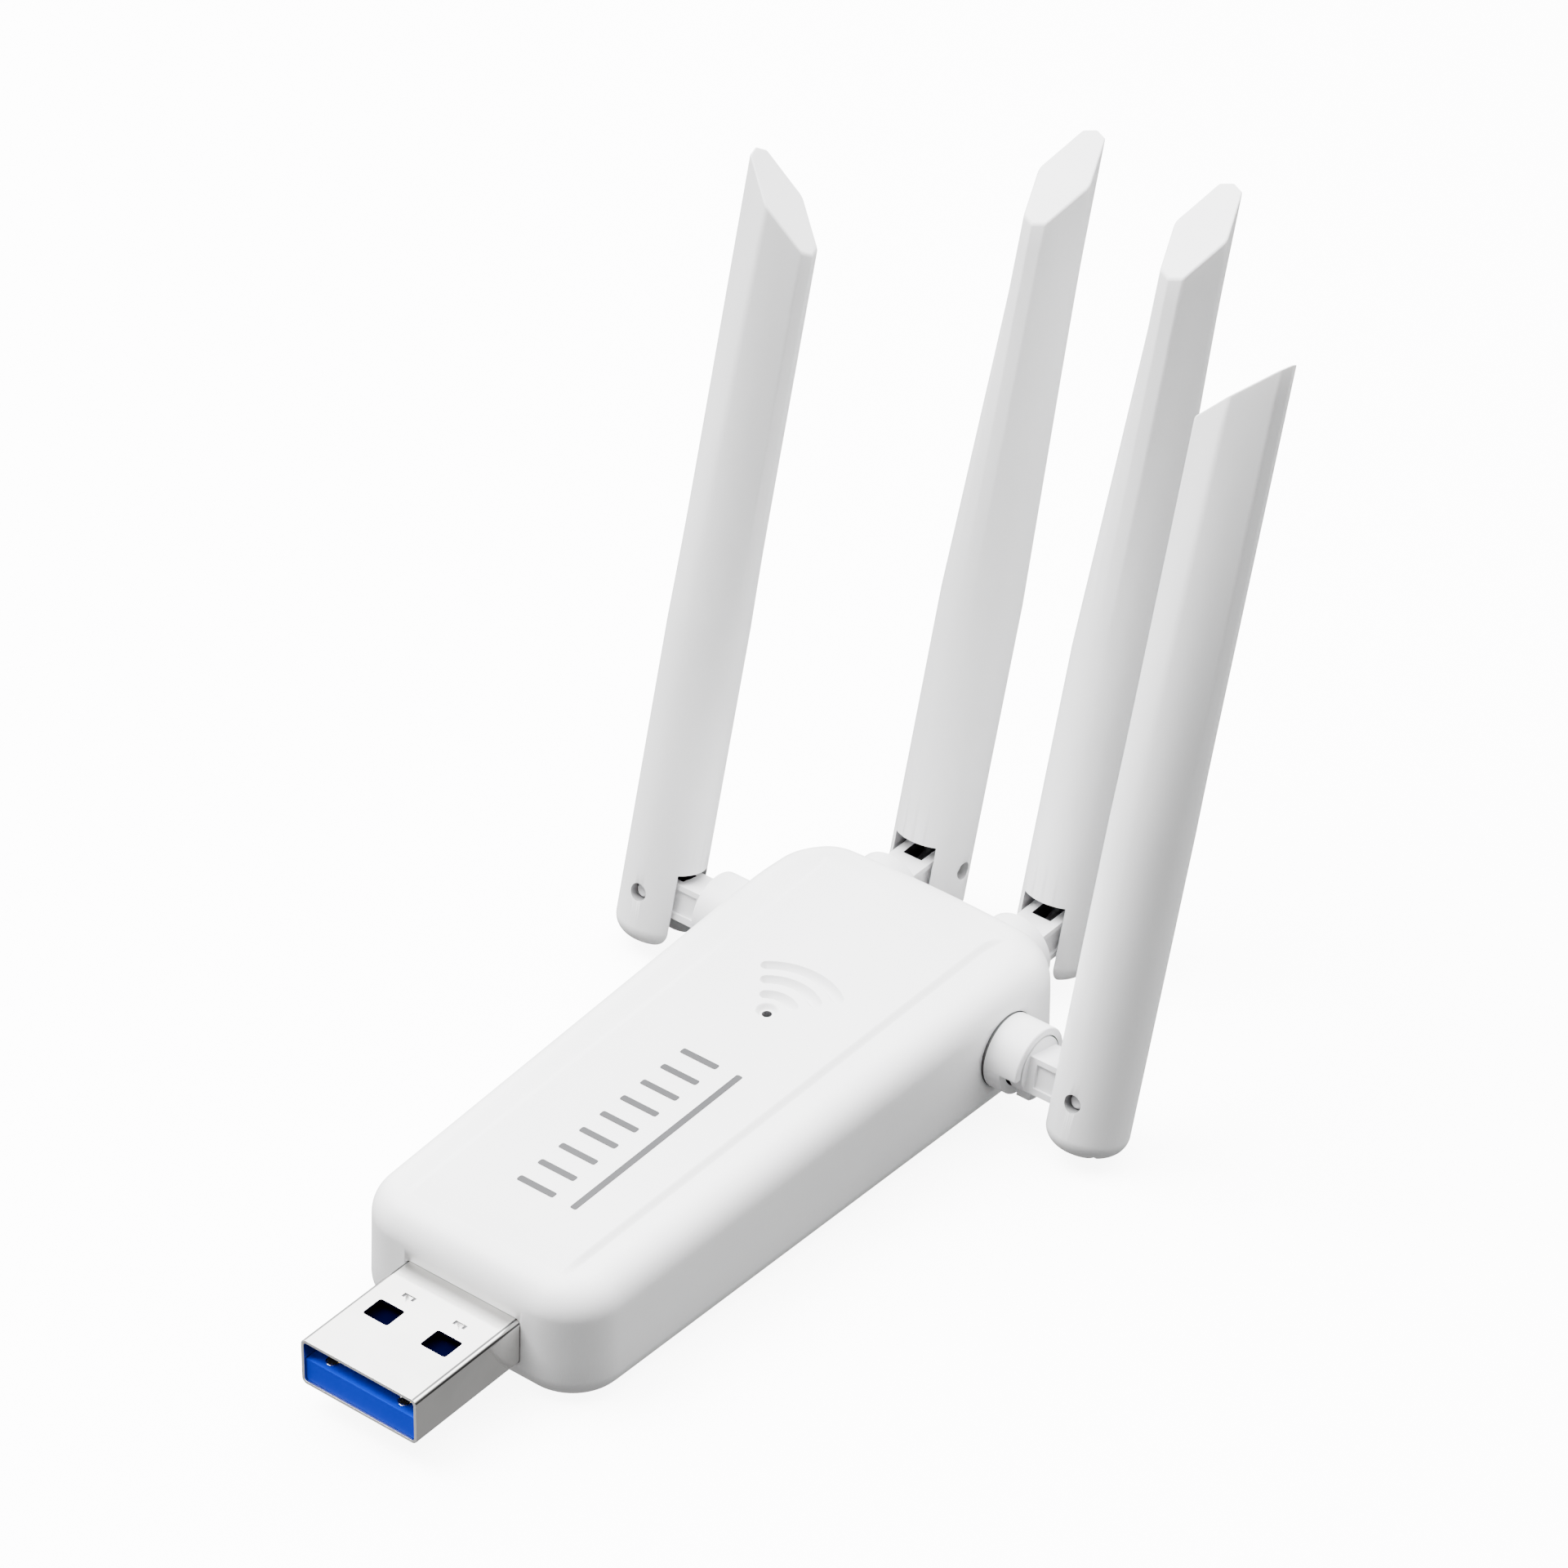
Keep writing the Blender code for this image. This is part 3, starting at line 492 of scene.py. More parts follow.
def loft(rings):
    """Closed solid through rings of equal length, with flat caps."""
    bm = bmesh.new()
    rows = [[bm.verts.new(point) for point in ring] for ring in rings]
    count = len(rows[0])
    for low, high in zip(rows, rows[1:]):
        for i in range(count):
            j = (i + 1) % count
            bm.faces.new((low[i], low[j], high[j], high[i]))
    bm.faces.new(tuple(reversed(rows[0])))
    bm.faces.new(tuple(rows[-1]))
    return bm


def circle(radius, height, segments):
    """Points of a level circle about Z."""
    turn = 2 * math.pi / segments
    return [(radius * math.cos(i * turn), radius * math.sin(i * turn), height)
            for i in range(segments)]


def turned(profile, segments=96):
    """Closed solid turned about Z from (radius, height) pairs."""
    return loft([circle(radius, height, segments) for radius, height in profile])


def box(low, high):
    """Block between two corners."""
    ring = [(low[0], low[1]), (high[0], low[1]), (high[0], high[1]), (low[0], high[1])]
    return loft([[(x, y, z) for x, y in ring] for z in (low[2], high[2])])


def prism(outline, low, high):
    """Straight solid over a plan outline, between two heights."""
    return loft([[(x, y, z) for x, y in outline] for z in (low, high)])


def arc(centre, radius, start, end, steps):
    """Points on an arc, angles in degrees."""
    points = []
    for i in range(steps + 1):
        angle = math.radians(start + (end - start) * i / steps)
        points.append((centre[0] + radius * math.cos(angle), centre[1] + radius * math.sin(angle)))
    return points


def rounded_rect(half_x, half_y, radius, steps=10):
    """Rectangle with round corners about the origin, counter-clockwise."""
    points = []
    for quarter, (sx, sy) in enumerate(((1, -1), (1, 1), (-1, 1), (-1, -1))):
        centre = (sx * (half_x - radius), sy * (half_y - radius))
        start = -90 + 90 * quarter
        points += arc(centre, radius, start, start + 90, steps)
    return points


def sector(inner, outer, start, end, steps):
    """Ring or pie sector about the origin."""
    back = arc((0, 0), inner, end, start, steps) if inner > 0 else [(0.0, 0.0)]
    return arc((0, 0), outer, start, end, steps) + back


def along_x(matrix=None):
    """Matrix that lays a solid turned about Z along X, then applies matrix."""
    lay = Matrix(((0, 0, 1, 0), (0, 1, 0, 0), (-1, 0, 0, 0), (0, 0, 0, 1)))
    return matrix @ lay if matrix is not None else lay


def smoothstep(start, end, value):
    """0 up to start, 1 from end on, and a smooth rise between them."""
    share = min(max((value - start) / (end - start), 0.0), 1.0)
    return share * share * (3 - 2 * share)


def settle(thing, body, slot_name, *nodes):
    """Put a finished piece on its CAD body, standing for nodes."""
    thing.data.transform(thing.matrix_world)
    thing.matrix_world = Matrix.Identity(4)
    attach(thing, body)
    if nodes:
        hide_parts(*nodes)


# ---------------------------------------------------------------- body

def half_width(y):
    """Half the body's width, which tapers evenly along Y."""
    share = (y - Y_FRONT) / BODY_LENGTH
    return FRONT_HALF_WIDTH + (REAR_HALF_WIDTH - FRONT_HALF_WIDTH) * share


def roof(y):
    """Height of the plain top, which slopes evenly along Y."""
    share = (y - Y_FRONT) / BODY_LENGTH
    return FRONT_HEIGHT + (REAR_HEIGHT - FRONT_HEIGHT) * share


def bulge(x):
    """How far the rear wall swells out at x."""
    return REAR_BULGE * (1 - (x / REAR_HALF_WIDTH) ** 2)


def body_outline(inset):
    """Plan outline of the body, moved inwards by inset, counter-clockwise."""
    corner_steps = 20
    rear_steps = 14
    side_steps = 40
    front = max(FRONT_CORNER - inset, LEAST_CORNER)
    rear = max(REAR_CORNER - inset, LEAST_CORNER)
    y_low = Y_FRONT + inset
    y_high = Y_REAR - inset
    taper = math.degrees(math.atan((REAR_HALF_WIDTH - FRONT_HALF_WIDTH) / BODY_LENGTH))
    front_x = half_width(y_low + front) - inset - front
    rear_x = half_width(y_high - rear) - inset - rear
    near = arc((front_x, y_low + front), front, -90, -taper, corner_steps)
    far = arc((rear_x, y_high - rear), rear, -taper, 90, corner_steps)
    side = []
    for i in range(1, side_steps):
        share = i / side_steps
        side.append((near[-1][0] + (far[0][0] - near[-1][0]) * share,
                     near[-1][1] + (far[0][1] - near[-1][1]) * share))
    right = []
    for x, y in near + side + far:
        push = bulge(x) if y > 0 else 0.0
        right.append((x, y + push * max(0.0, (y - y_high + rear) / rear)))
    for i in range(1, rear_steps):
        x = rear_x * (1 - i / rear_steps)
        right.append((x, y_high + bulge(x)))
    left = [(-x, y) for x, y in reversed(right)]
    front_steps = 12
    front_edge = [(-front_x + 2 * front_x * i / front_steps, y_low) for i in range(1, front_steps)]
    return right + [(0.0, y_high + bulge(0.0))] + left + front_edge


def body_rings():
    """Rings from the underside up over the top fillet to the flat of the top."""
    rings = []
    base_steps = 8
    for i in range(base_steps + 1):
        angle = math.radians(90 * i / base_steps)
        inset = BASE_FILLET * (1 - math.sin(angle))
        z = BASE_FILLET * (1 - math.cos(angle))
        rings.append([(x, y, z) for x, y in body_outline(inset)])
    for share in (0.33, 0.66):
        ring = body_outline(WALL_DRAFT * share)
        rings.append([(x, y, BASE_FILLET + (roof(y) - TOP_FILLET - BASE_FILLET) * share)
                      for x, y in ring])
    outer = body_outline(0.0)
    inner = body_outline(FILLET_REACH)
    fillets = [TOP_FILLET + (REAR_FILLET - TOP_FILLET) * smoothstep(Y_REAR - 10, Y_REAR - 1, y)
               for x, y in outer]

    def top_ring(widen, extra, lower):
        ring = []
        for (x, y), (px, py), fillet in zip(outer, inner, fillets):
            share = (WALL_DRAFT + fillet * widen + extra) / FILLET_REACH
            y_here = y + (py - y) * share
            ring.append((x + (px - x) * share, y_here, roof(y_here) - fillet * lower))
        return ring

    steps = 20
    for i in range(steps + 1):
        angle = math.radians(90 * i / steps)
        rings.append(top_ring(1 - math.cos(angle), 0.0, 1 - math.sin(angle)))
    rings.append(top_ring(1.0, TOP_STRIP, 0.0))
    return rings


def field_half(y):
    """Half width of the raised field at y, flaring towards the rear corners."""
    share = (y - Y_FRONT) / BODY_LENGTH
    straight = FIELD_HALF_FRONT + (FIELD_HALF_REAR - FIELD_HALF_FRONT) * share
    reach = max(0.0, (y - FLARE_FROM) / (FIELD_END - FLARE_FROM))
    return straight + FLARE_REACH * reach ** 3


def stroke_distance(x, y, radius):
    """Distance from the spine of one signal arc."""
    dy = y - ARC_Y
    angle = math.degrees(math.atan2(x, dy))
    if abs(angle) <= ARC_HALF_ANGLE:
        return abs(math.hypot(x, dy) - radius)
    end = math.radians(math.copysign(ARC_HALF_ANGLE, angle))
    return math.hypot(x - radius * math.sin(end), dy - radius * math.cos(end))


def top_z(x, y):
    """Height of the top surface with its raised field, arcs and dimple."""
    rise = smoothstep(-FIELD_SLOPE, FIELD_SLOPE, field_half(y) - abs(x))
    rise *= smoothstep(*FIELD_FRONT_FADE, y - Y_FRONT - FIELD_FRONT)
    rise *= 1 - smoothstep(FIELD_END - FIELD_REAR_FADE, FIELD_END, y)
    z = roof(y) + FIELD_RISE * rise
    if math.hypot(x, y - DIMPLE_Y) < 9:
        near = min(stroke_distance(x, y, radius) for radius in ARC_RADII)
        z -= ARC_DEPTH * max(0.0, 1 - (near / ARC_HALF_WIDTH) ** 2)
        away = math.hypot(x, y - DIMPLE_Y)
        z -= DIMPLE_DEPTH * (1 - smoothstep(PINHOLE_RADIUS + DIMPLE_FLAT, DIMPLE_RADIUS, away))
    return z


def top_normal(x, y):
    """Direction in which the top surface faces."""
    step = 0.01
    dx = (top_z(x + step, y) - top_z(x - step, y)) / (2 * step)
    dy = (top_z(x, y + step) - top_z(x, y - step)) / (2 * step)
    return Vector((-dx, -dy, 1)).normalized()


def feature_points(limit):
    """Plan points that follow each feature of the top closely."""
    points = []
    for offset in (-0.5, -0.38, -0.26, -0.16, -0.05, 0.05, 0.16, 0.26, 0.38, 0.5):
        for y in np.arange(Y_FRONT + FIELD_FRONT - 0.4, limit, 0.5):
            for side in (-1, 1):
                points.append((side * (field_half(y) + offset), float(y)))
    for offset in (-1.8, -1.2, -0.6, 0.0, 0.6, 1.2, 1.8, 2.4):
        for x in np.arange(-FIELD_HALF_FRONT + 0.5, FIELD_HALF_FRONT - 0.4, 0.6):
            points.append((float(x), Y_FRONT + FIELD_FRONT + offset))
    for radius in ARC_RADII:
        count = int(radius * 8) + 10
        for offset in (0.07, 0.16, 0.25, 0.34, 0.42, 0.49, 0.55, 0.6):
            for side in (-1, 1):
                points += [(x, y + ARC_Y) for x, y in
                           arc((0, 0), radius + side * offset, 90 - ARC_HALF_ANGLE,
                               90 + ARC_HALF_ANGLE, count)]
                tip = math.radians(90 + side * ARC_HALF_ANGLE)
                centre = (radius * math.cos(tip), ARC_Y + radius * math.sin(tip))
                start = math.degrees(tip) + (0 if side > 0 else 180)
                points += arc(centre, offset, start, start + 180, 12)[1:-1]
    for radius in (0.48, 0.52, 0.56, 0.6, 0.65, 0.7, 0.76, 0.82, 0.88, 0.94, 1.0, 1.06, 1.14, 1.25):
        points += arc((0, DIMPLE_Y), radius, 0, 360, 48)[:-1]
    return points


def nearest(points, others):
    """Distance from each of points to the closest of others."""
    return np.sqrt(((points[:, None, :] - others[None, :, :]) ** 2).sum(-1)).min(1)


def top_patch(boundary):
    """Triangulated plan of the top: boundary ring, feature points and a loose grid, round the pinhole."""
    limit = max(y for x, y in boundary) - 0.2
    hole = arc((0, DIMPLE_Y), PINHOLE_RADIUS, 0, 360, 48)[:-1]
    kept = np.array(feature_points(limit))
    grid = np.array([(x, y) for x in np.arange(-GRID_HALF_WIDTH, GRID_HALF_WIDTH + 0.1, GRID_PITCH)
                     for y in np.arange(Y_FRONT + 2, Y_REAR, GRID_PITCH)])
    inner = np.vstack([kept, grid[nearest(grid, kept) > GRID_PITCH / 2]])
    inner = inner[nearest(inner, np.array(boundary)) > 0.3]
    away = np.hypot(inner[:, 0], inner[:, 1] - DIMPLE_Y)
    inner = inner[away > PINHOLE_RADIUS + 0.02]
    points = [Vector(p) for p in boundary] + [Vector(p) for p in hole]
    points += [Vector((float(x), float(y))) for x, y in inner]
    face = list(range(len(boundary)))
    first = len(boundary)
    ring = [(first + i, first + (i + 1) % len(hole)) for i in range(len(hole))]
    made = delaunay_2d_cdt(points, ring, [face], 1, 1e-5)
    verts, tris = made[0], made[2]
    centre = Vector((0, DIMPLE_Y))
    tris = [t for t in tris if any((verts[i] - centre).length > PINHOLE_RADIUS + 0.01 for i in t)]
    return verts, tris


def cut_cover(rings):
    """Cover solid with its plug mouth, side hinge ports and open underside; the walls of the mouth and ports
    are painted dark grey as shade.
    """
    shell = store("body_cover", loft(rings), WHITE)
    mouth = rounded_rect(SHELL_HALF_X + MOUTH_GAP, SHELL_HALF_Z + MOUTH_GAP, SHELL_CORNER + MOUTH_GAP)
    # the mouth's walls are painted dark grey as shade round the plug
    cut(shell, tube_along_y(mouth, Y_FRONT - 2, Y_FRONT + 7), look=DEEP_SHADE)
    # the ports' walls are painted dark grey as shade round the collars
    port = COLLAR_RADIUS + PORT_GAP
    lift = Matrix.Translation((0, 0, PORT_LIFT * MM))
    for name in ("left", "right"):
        cut(shell, turned(((port, -13.0), (port, 0))), lift @ along_x(HINGES[name]["fixed"]), DEEP_SHADE)
    cut(shell, prism(body_outline(WALL), -1, FLOOR + 0.05))
    shell.data.materials.append(SHADE)
    return shell


def spot_key(x, y, z):
    """Rounded place, by which vertices that belong together are found."""
    return round(x, 2), round(y, 2), round(z, 1)


def lay_top(bm, boundary):
    """Replace the cover's flat crown by the detailed top, and return the new vertices and faces."""
    crown = [f for f in bm.faces if f.normal.z > 0.99
             and all(abs(v.co.z / MM - roof(v.co.y / MM)) < 0.004 for v in f.verts)
             and len(f.verts) > 100]
    bmesh.ops.delete(bm, geom=crown, context="FACES_ONLY")
    spots = {spot_key(v.co.x / MM, v.co.y / MM, v.co.z / MM): v for v in bm.verts}
    verts, tris = top_patch(boundary)
    made = []
    own = []
    for p in verts:
        found = spots.get(spot_key(p.x, p.y, roof(p.y)))
        if found is None:
            found = bm.verts.new((p.x * MM, p.y * MM, top_z(p.x, p.y) * MM))
            own.append(found)
        made.append(found)
    faces = []
    for t in tris:
        corner = [made[i] for i in t]
        if len(set(corner)) == 3:
            faces.append(bm.faces.new(corner))
    bmesh.ops.recalc_face_normals(bm, faces=bm.faces)
    return own, faces


def set_top_normals(mesh, marked):
    """Give the marked vertices the normals of the top's formula, outside the pinhole."""
    normals = []
    for v in mesh.vertices:
        x, y = v.co.x / MM, v.co.y / MM
        deep = math.hypot(x, y - DIMPLE_Y) < PINHOLE_RADIUS + 0.01
        normals.append(top_normal(x, y) if v.index in marked and not deep else Vector((0, 0, 0)))
    mesh.normals_split_custom_set_from_vertices(normals)


def make_body():
    """Top cover: walls and fillets cut for plug, hinges and base plate, with a detailed top."""
    rings = body_rings()
    shell = cut_cover(rings)
    mesh = shell.data
    bm = bmesh.new()
    bm.from_mesh(mesh)
    own, faces = lay_top(bm, [(x, y) for x, y, z in rings[-1]])
    add_pinhole(bm, own, len(mesh.materials) - 1)
    for face in bm.faces:
        face.smooth = True
    bm.verts.index_update()
    marked = {v.index for v in own}
    marked |= {v.index for f in faces for v in f.verts}
    bm.to_mesh(mesh)
    bm.free()
    mesh.set_sharp_from_angle(angle=math.radians(38))
    set_top_normals(mesh, marked)
    settle(shell, "extender_body", "white_plastic", "top_cover")


def add_pinhole(bm, own, wall_look):
    """Walls of the pinhole, down through the cover."""
    rim = [v for v in own if abs(math.hypot(v.co.x / MM, v.co.y / MM - DIMPLE_Y) - PINHOLE_RADIUS) < 0.004]
    rim.sort(key=lambda v: math.atan2(v.co.x, v.co.y / MM - DIMPLE_Y))
    low = [bm.verts.new((v.co.x, v.co.y, v.co.z - PINHOLE_DEPTH * MM)) for v in rim]
    count = len(rim)
    for i in range(count):
        j = (i + 1) % count
        bm.faces.new((rim[i], rim[j], low[j], low[i])).material_index = wall_look


def make_base_plate():
    """Plate set into the underside, with a soft edge."""
    inset = WALL + PLATE_GAP
    rings = []
    for extra, z in ((0.75, 0.0), (0.35, 0.02), (0.08, 0.09), (0.0, 0.25), (0.0, FLOOR)):
        rings.append([(x, y, z) for x, y in body_outline(inset + extra)])
    plate = store("base_plate", loft(rings), WHITE)
    settle(plate, "extender_body", "white_plastic", "bottom_cover")


def make_print():
    """Plain printed scale on the raised field: a row of ticks and one long line."""
    marks = [(LINE_X, PRINT_START, LINE_END, LINE_HALF_WIDTH)]
    for i in range(TICK_COUNT):
        y = PRINT_START + TICK_PITCH * i
        marks.append((TICK_X, y, y + TICK_LENGTH, TICK_HALF_WIDTH))
    for index, (x, y_low, y_high, half) in enumerate(marks, 1):
        middle = (y_low + y_high) / 2
        outline = [(x + px, middle + py)
                   for px, py in rounded_rect(half, (y_high - y_low) / 2, INK_CORNER, 5)]
        low = [(px, py, top_z(px, py) + INK_LOW) for px, py in outline]
        high = [(px, py, top_z(px, py) + INK_HIGH) for px, py in outline]
        mark = store(f"printed_stripe_{index}", loft([low, high]), INK)
        settle(mark, "extender_body", "white_plastic")


# ---------------------------------------------------------------- plug

def tube_along_y(outline, y_low, y_high):
    """Solid along Y whose outline is drawn about the plug's middle height."""
    return loft([[(x, y, PLUG_Z + z) for x, z in outline] for y in (y_low, y_high)])


def on_lip(face):
    """Whether a face is on the shell's sheared front edge."""
    return face.normal.y < -0.9 and face.center.y < (PLUG_Y + 0.1) * MM


def on_dark_reflection_band(face):
    """Whether a face is on one of the painted dark reflection bands of the shell's upper folds."""
    x, z = abs(face.center.x) / MM, face.center.z / MM - PLUG_Z
    folded = x > SHELL_HALF_X - SHELL_CORNER and z > SHELL_HALF_Z - SHELL_CORNER
    outside = face.normal.x * face.center.x >= 0 and face.normal.z > 0 and abs(face.normal.y) < 0.1
    lean = math.degrees(math.atan2(abs(face.normal.x), face.normal.z))
    return folded and outside and any(low < lean < high for low, high in DARK_REFLECTION_BANDS)


def cut_windows(shell, z, side):
    """Latch window and the small stamped mark behind it, in the shell's wall at height z, both with their
    walls painted dark as shade.
    """
    hole = [(side * WINDOW_X + px, PLUG_Y + WINDOW_MID + py)
            for px, py in rounded_rect(WINDOW_HALF_X, WINDOW_HALF_Y, WINDOW_CORNER, 5)]
    # the window's walls are painted near-black as shade
    cut(shell, prism(hole, z - 0.6, z + 0.6), look=SHADE_NAVY)
    # the stamped mark's walls are painted dark grey as shade
    for x, y, size_x, size_y in MARK_PIECES:
        low = (side * MARK_X + x, PLUG_Y + MARK_BACK + y, z - MARK_DEPTH)
        cut(shell, box(low, (low[0] + size_x, low[1] + size_y, z + MARK_DEPTH)), look=DEEP_SHADE)


def make_plug():
    """Plug shell with its lip, windows, marks, seam and folds, with painted dark reflection bands on its
    upper folds, then the carrier inside it.
    """
    y_back = SHELL_HIGH.y
    half_x, half_z = SHELL_HALF_X - SHELL_WALL, SHELL_HALF_Z - SHELL_WALL
    outer = rounded_rect(SHELL_HALF_X, SHELL_HALF_Z, SHELL_CORNER)
    lip = rounded_rect(SHELL_HALF_X - LIP_EDGE, SHELL_HALF_Z - LIP_EDGE, SHELL_CORNER - LIP_EDGE)
    inner = rounded_rect(half_x, half_z, SHELL_INNER_CORNER)
    wide = rounded_rect(half_x + LIP_EDGE, half_z + LIP_EDGE, SHELL_INNER_CORNER + 0.01)

    def ring(outline, y):
        return [(x, y, PLUG_Z + z) for x, z in outline]

    shell = store("plug_shell", loft([ring(lip, PLUG_Y), ring(outer, PLUG_Y + LIP_LENGTH),
                                      ring(outer, y_back)]), NICKEL)
    cut(shell, loft([ring(wide, PLUG_Y - 0.5), ring(wide, PLUG_Y + 0.005),
                     ring(inner, PLUG_Y + LIP_LENGTH), ring(inner, y_back + 1)]))
    for z in (PLUG_Z + SHELL_HALF_Z, PLUG_Z - SHELL_HALF_Z):
        for side in (-1, 1):
            cut_windows(shell, z, side)
    bottom = PLUG_Z - SHELL_HALF_Z
    cut(shell, box((-SEAM_HALF_WIDTH, PLUG_Y - 1, bottom - 1),
                   (SEAM_HALF_WIDTH, y_back + 1, bottom + SHELL_WALL / 2)))
    repaint(shell, SHEARED, on_lip)
    # painted dark reflection bands along the upper folds
    repaint(shell, NICKEL_DARK_REFLECTION, on_dark_reflection_band)
    soften(shell, 0.03, 60.0)
    settle(shell, "extender_body", "nickel", "usb_shell")
    make_carrier(y_back)


def make_carrier(y_back):
    """Blue contact carrier with contact grooves, and its contacts."""
    surface = span("usb_insulator")[0].z + CARRIER_THICK
    fit = SHELL_WALL + CARRIER_GAP
    outline = rounded_rect(SHELL_HALF_X - fit, SHELL_HALF_Z - fit, SHELL_INNER_CORNER)
    carrier = store("contact_carrier", tube_along_y(outline, PLUG_Y + CARRIER_FRONT, y_back - 0.3),
                    BLUE)
    cut(carrier, box((-20, PLUG_Y - 3, surface), (20, PLUG_Y + CARRIER_STEP, surface + 9)))
    z = PLUG_Z + SHELL_HALF_Z - RECESS_DEPTH
    # the recess's faces are painted near-black as shade, seen through the windows
    cut(carrier, box((-RECESS_HALF_WIDTH, PLUG_Y + RECESS_START, z),
                     (RECESS_HALF_WIDTH, PLUG_Y + RECESS_END, z + 4)), look=SHADE_NAVY)
    for side in (-1, 1):
        make_latch_well(side, surface)
    for index in range(1, 5):
        low, high = span(f"usb_blade_contact_{index}")
        cut(carrier, box((low.x - GROOVE_SIDE, low.y - 0.5, low.z - 0.05),
                         (high.x + GROOVE_SIDE, high.y + 0.2, high.z + GROOVE_TOP)))
    soften(carrier, 0.06)
    settle(carrier, "extender_body", "blue_plastic", "usb_insulator")
    for index in range(1, 5):
        make_contact("contact_blade", f"usb_blade_contact_{index}", False)
    for index in range(1, 6):
        make_contact("contact_spring", f"usb_spring_contact_{index}", True)


def make_latch_well(side, surface):
    """Well in the tongue's upper face: a bright nickel rim round a core painted black as the well's shade."""
    where = Matrix.Translation(Vector((side * WELL_X, PLUG_Y + WELL_BACK, surface)) * MM)
    label = "1" if side < 0 else "2"
    rim_profile = ((WELL_RADIUS, -0.2), (WELL_RADIUS, WELL_RISE - 0.04),
                   (WELL_RADIUS - 0.06, WELL_RISE))
    rim = store("well_rim_" + label, turned(rim_profile), NICKEL, where)
    settle(rim, "extender_body", "nickel")
    # the core is a black disc painted as the well's shade
    core_profile = ((WELL_CORE, 0.0), (WELL_CORE, WELL_RISE + 0.02))
    core = store("well_core_" + label, turned(core_profile), BLACK_AND_PAINTED_SHADE, where)
    settle(core, "extender_body", "chip_black")


def make_contact(prefix, node, sprung):
    """Flat blade, or a spring strip that humps up towards its free end."""
    low, high = span(node)
    thick = CONTACT_THICK
    steps = 14
    rings = []
    for i in range(steps + 1):
        share = i / steps
        y = low.y + (high.y - low.y) * share
        if sprung:
            room = high.z - low.z - thick
            z = low.z + room * math.sin(math.pi * min(1.0, share * 1.25)) ** 2
        else:
            z = low.z - BLADE_TIP_DROP * (1 - smoothstep(0.0, 0.12, share))
        rings.append([(low.x, y, z), (high.x, y, z), (high.x, y, z + thick), (low.x, y, z + thick)])
    strip = store(prefix + "_" + node[-1], loft(rings), GOLD)
    soften(strip, 0.025, 50.0)
    settle(strip, "extender_body", "gold", node)


# ---------------------------------------------------------------- hinges

def frame_matrix(origin, out, up):
    """Matrix whose X is out, Z is up and origin is in millimetres."""
    out = Vector(out).normalized()
    up = Vector(up).normalized()
    across = up.cross(out)
    columns = Matrix((out, across, up)).transposed().to_4x4()
    return Matrix.Translation(Vector(origin) * MM) @ columns


def hinge_frames():
    """Each hinge's matrices at rest, its stop notch and the distance to its body wall."""
    table = {}
    lean = math.radians(SIDE_LEAN)
    fold = math.radians(REAR_FOLD)
    for name in SIDES:
        side = -1 if name.endswith("left") else 1
        origin = pivot(name + "_tilt")
        if name.startswith("rear"):
            out = Vector((0, 1, 0))
            up = Vector((0, 0, 1))
            v = out * math.cos(fold) + up * math.sin(fold)
            u = out * math.sin(fold) - up * math.cos(fold)
            low, high = REAR_NOTCH
            notch = (low, high) if side > 0 else (-high, -low)
            wall = Y_REAR - origin[1]
        else:
            out = Vector((side, 0, 0))
            up = Vector((0, math.sin(lean), math.cos(lean)))
            u, v = out, up
            notch = SIDE_NOTCH
            wall = half_width(origin[1]) - abs(origin[0])
        table[name] = {"fixed": frame_matrix(origin, out, (0, 0, 1)), "swivel": frame_matrix(origin, out, up),
                       "blade": frame_matrix(origin, u, v), "notch": notch, "wall": wall}
    return table


def make_collar(name):
    """Fixed sleeve with a rounded rim and a stop notch in its mouth."""
    hinge = HINGES[name]
    deep = hinge["wall"] - COLLAR_DEPTH
    sleeve_start = hinge["wall"] - (REAR_COLLAR_INSET if name.startswith("rear") else 0.0)
    profile = [(COLLAR_RADIUS, sleeve_start)]
    profile += arc((COLLAR_RADIUS - COLLAR_EDGE, COLLAR_END - COLLAR_EDGE), COLLAR_EDGE, 0, 90, 5)
    collar = store("collar_" + name, turned(profile, 128), HINGE, along_x(hinge["fixed"]))
    root_radius = COLLAR_RADIUS - COLLAR_STEP
    root = turned(((root_radius, deep), (root_radius, hinge["wall"] + 0.3)), 128)
    # the root inside the wall is painted dark grey as shade, so the port gap reads as a dark line
    join(collar, root, along_x(hinge["fixed"]), DEEP_SHADE)
    # the bore's walls are painted black as shade
    cut(collar, turned(((COLLAR_BORE, deep - 1), (COLLAR_BORE, COLLAR_END - MOUTH_DEPTH),
                        (COLLAR_MOUTH, COLLAR_END - MOUTH_DEPTH), (COLLAR_MOUTH, COLLAR_END + 1)), 128),
        along_x(hinge["fixed"]), BLACK_AND_PAINTED_SHADE)
    start, end = hinge["notch"]
    cut(collar, prism(sector(0, 6, start, end, 48), COLLAR_END - NOTCH_DEPTH, COLLAR_END + 1),
        along_x(hinge["fixed"]))
    soften(collar, 0.07)
    settle(collar, "extender_body", "hinge_plastic", "hinge_collar_" + name)


def on_disc_side(face):
    """Whether a face is round a knuckle's disc; painted black there as shade, so the gap to the collar reads
    as a dark line.
    """
    radius = math.hypot(face.center.y, face.center.z) / MM
    return abs(radius - DISC_RADIUS) < 0.02 and abs(face.normal.x) < 0.1


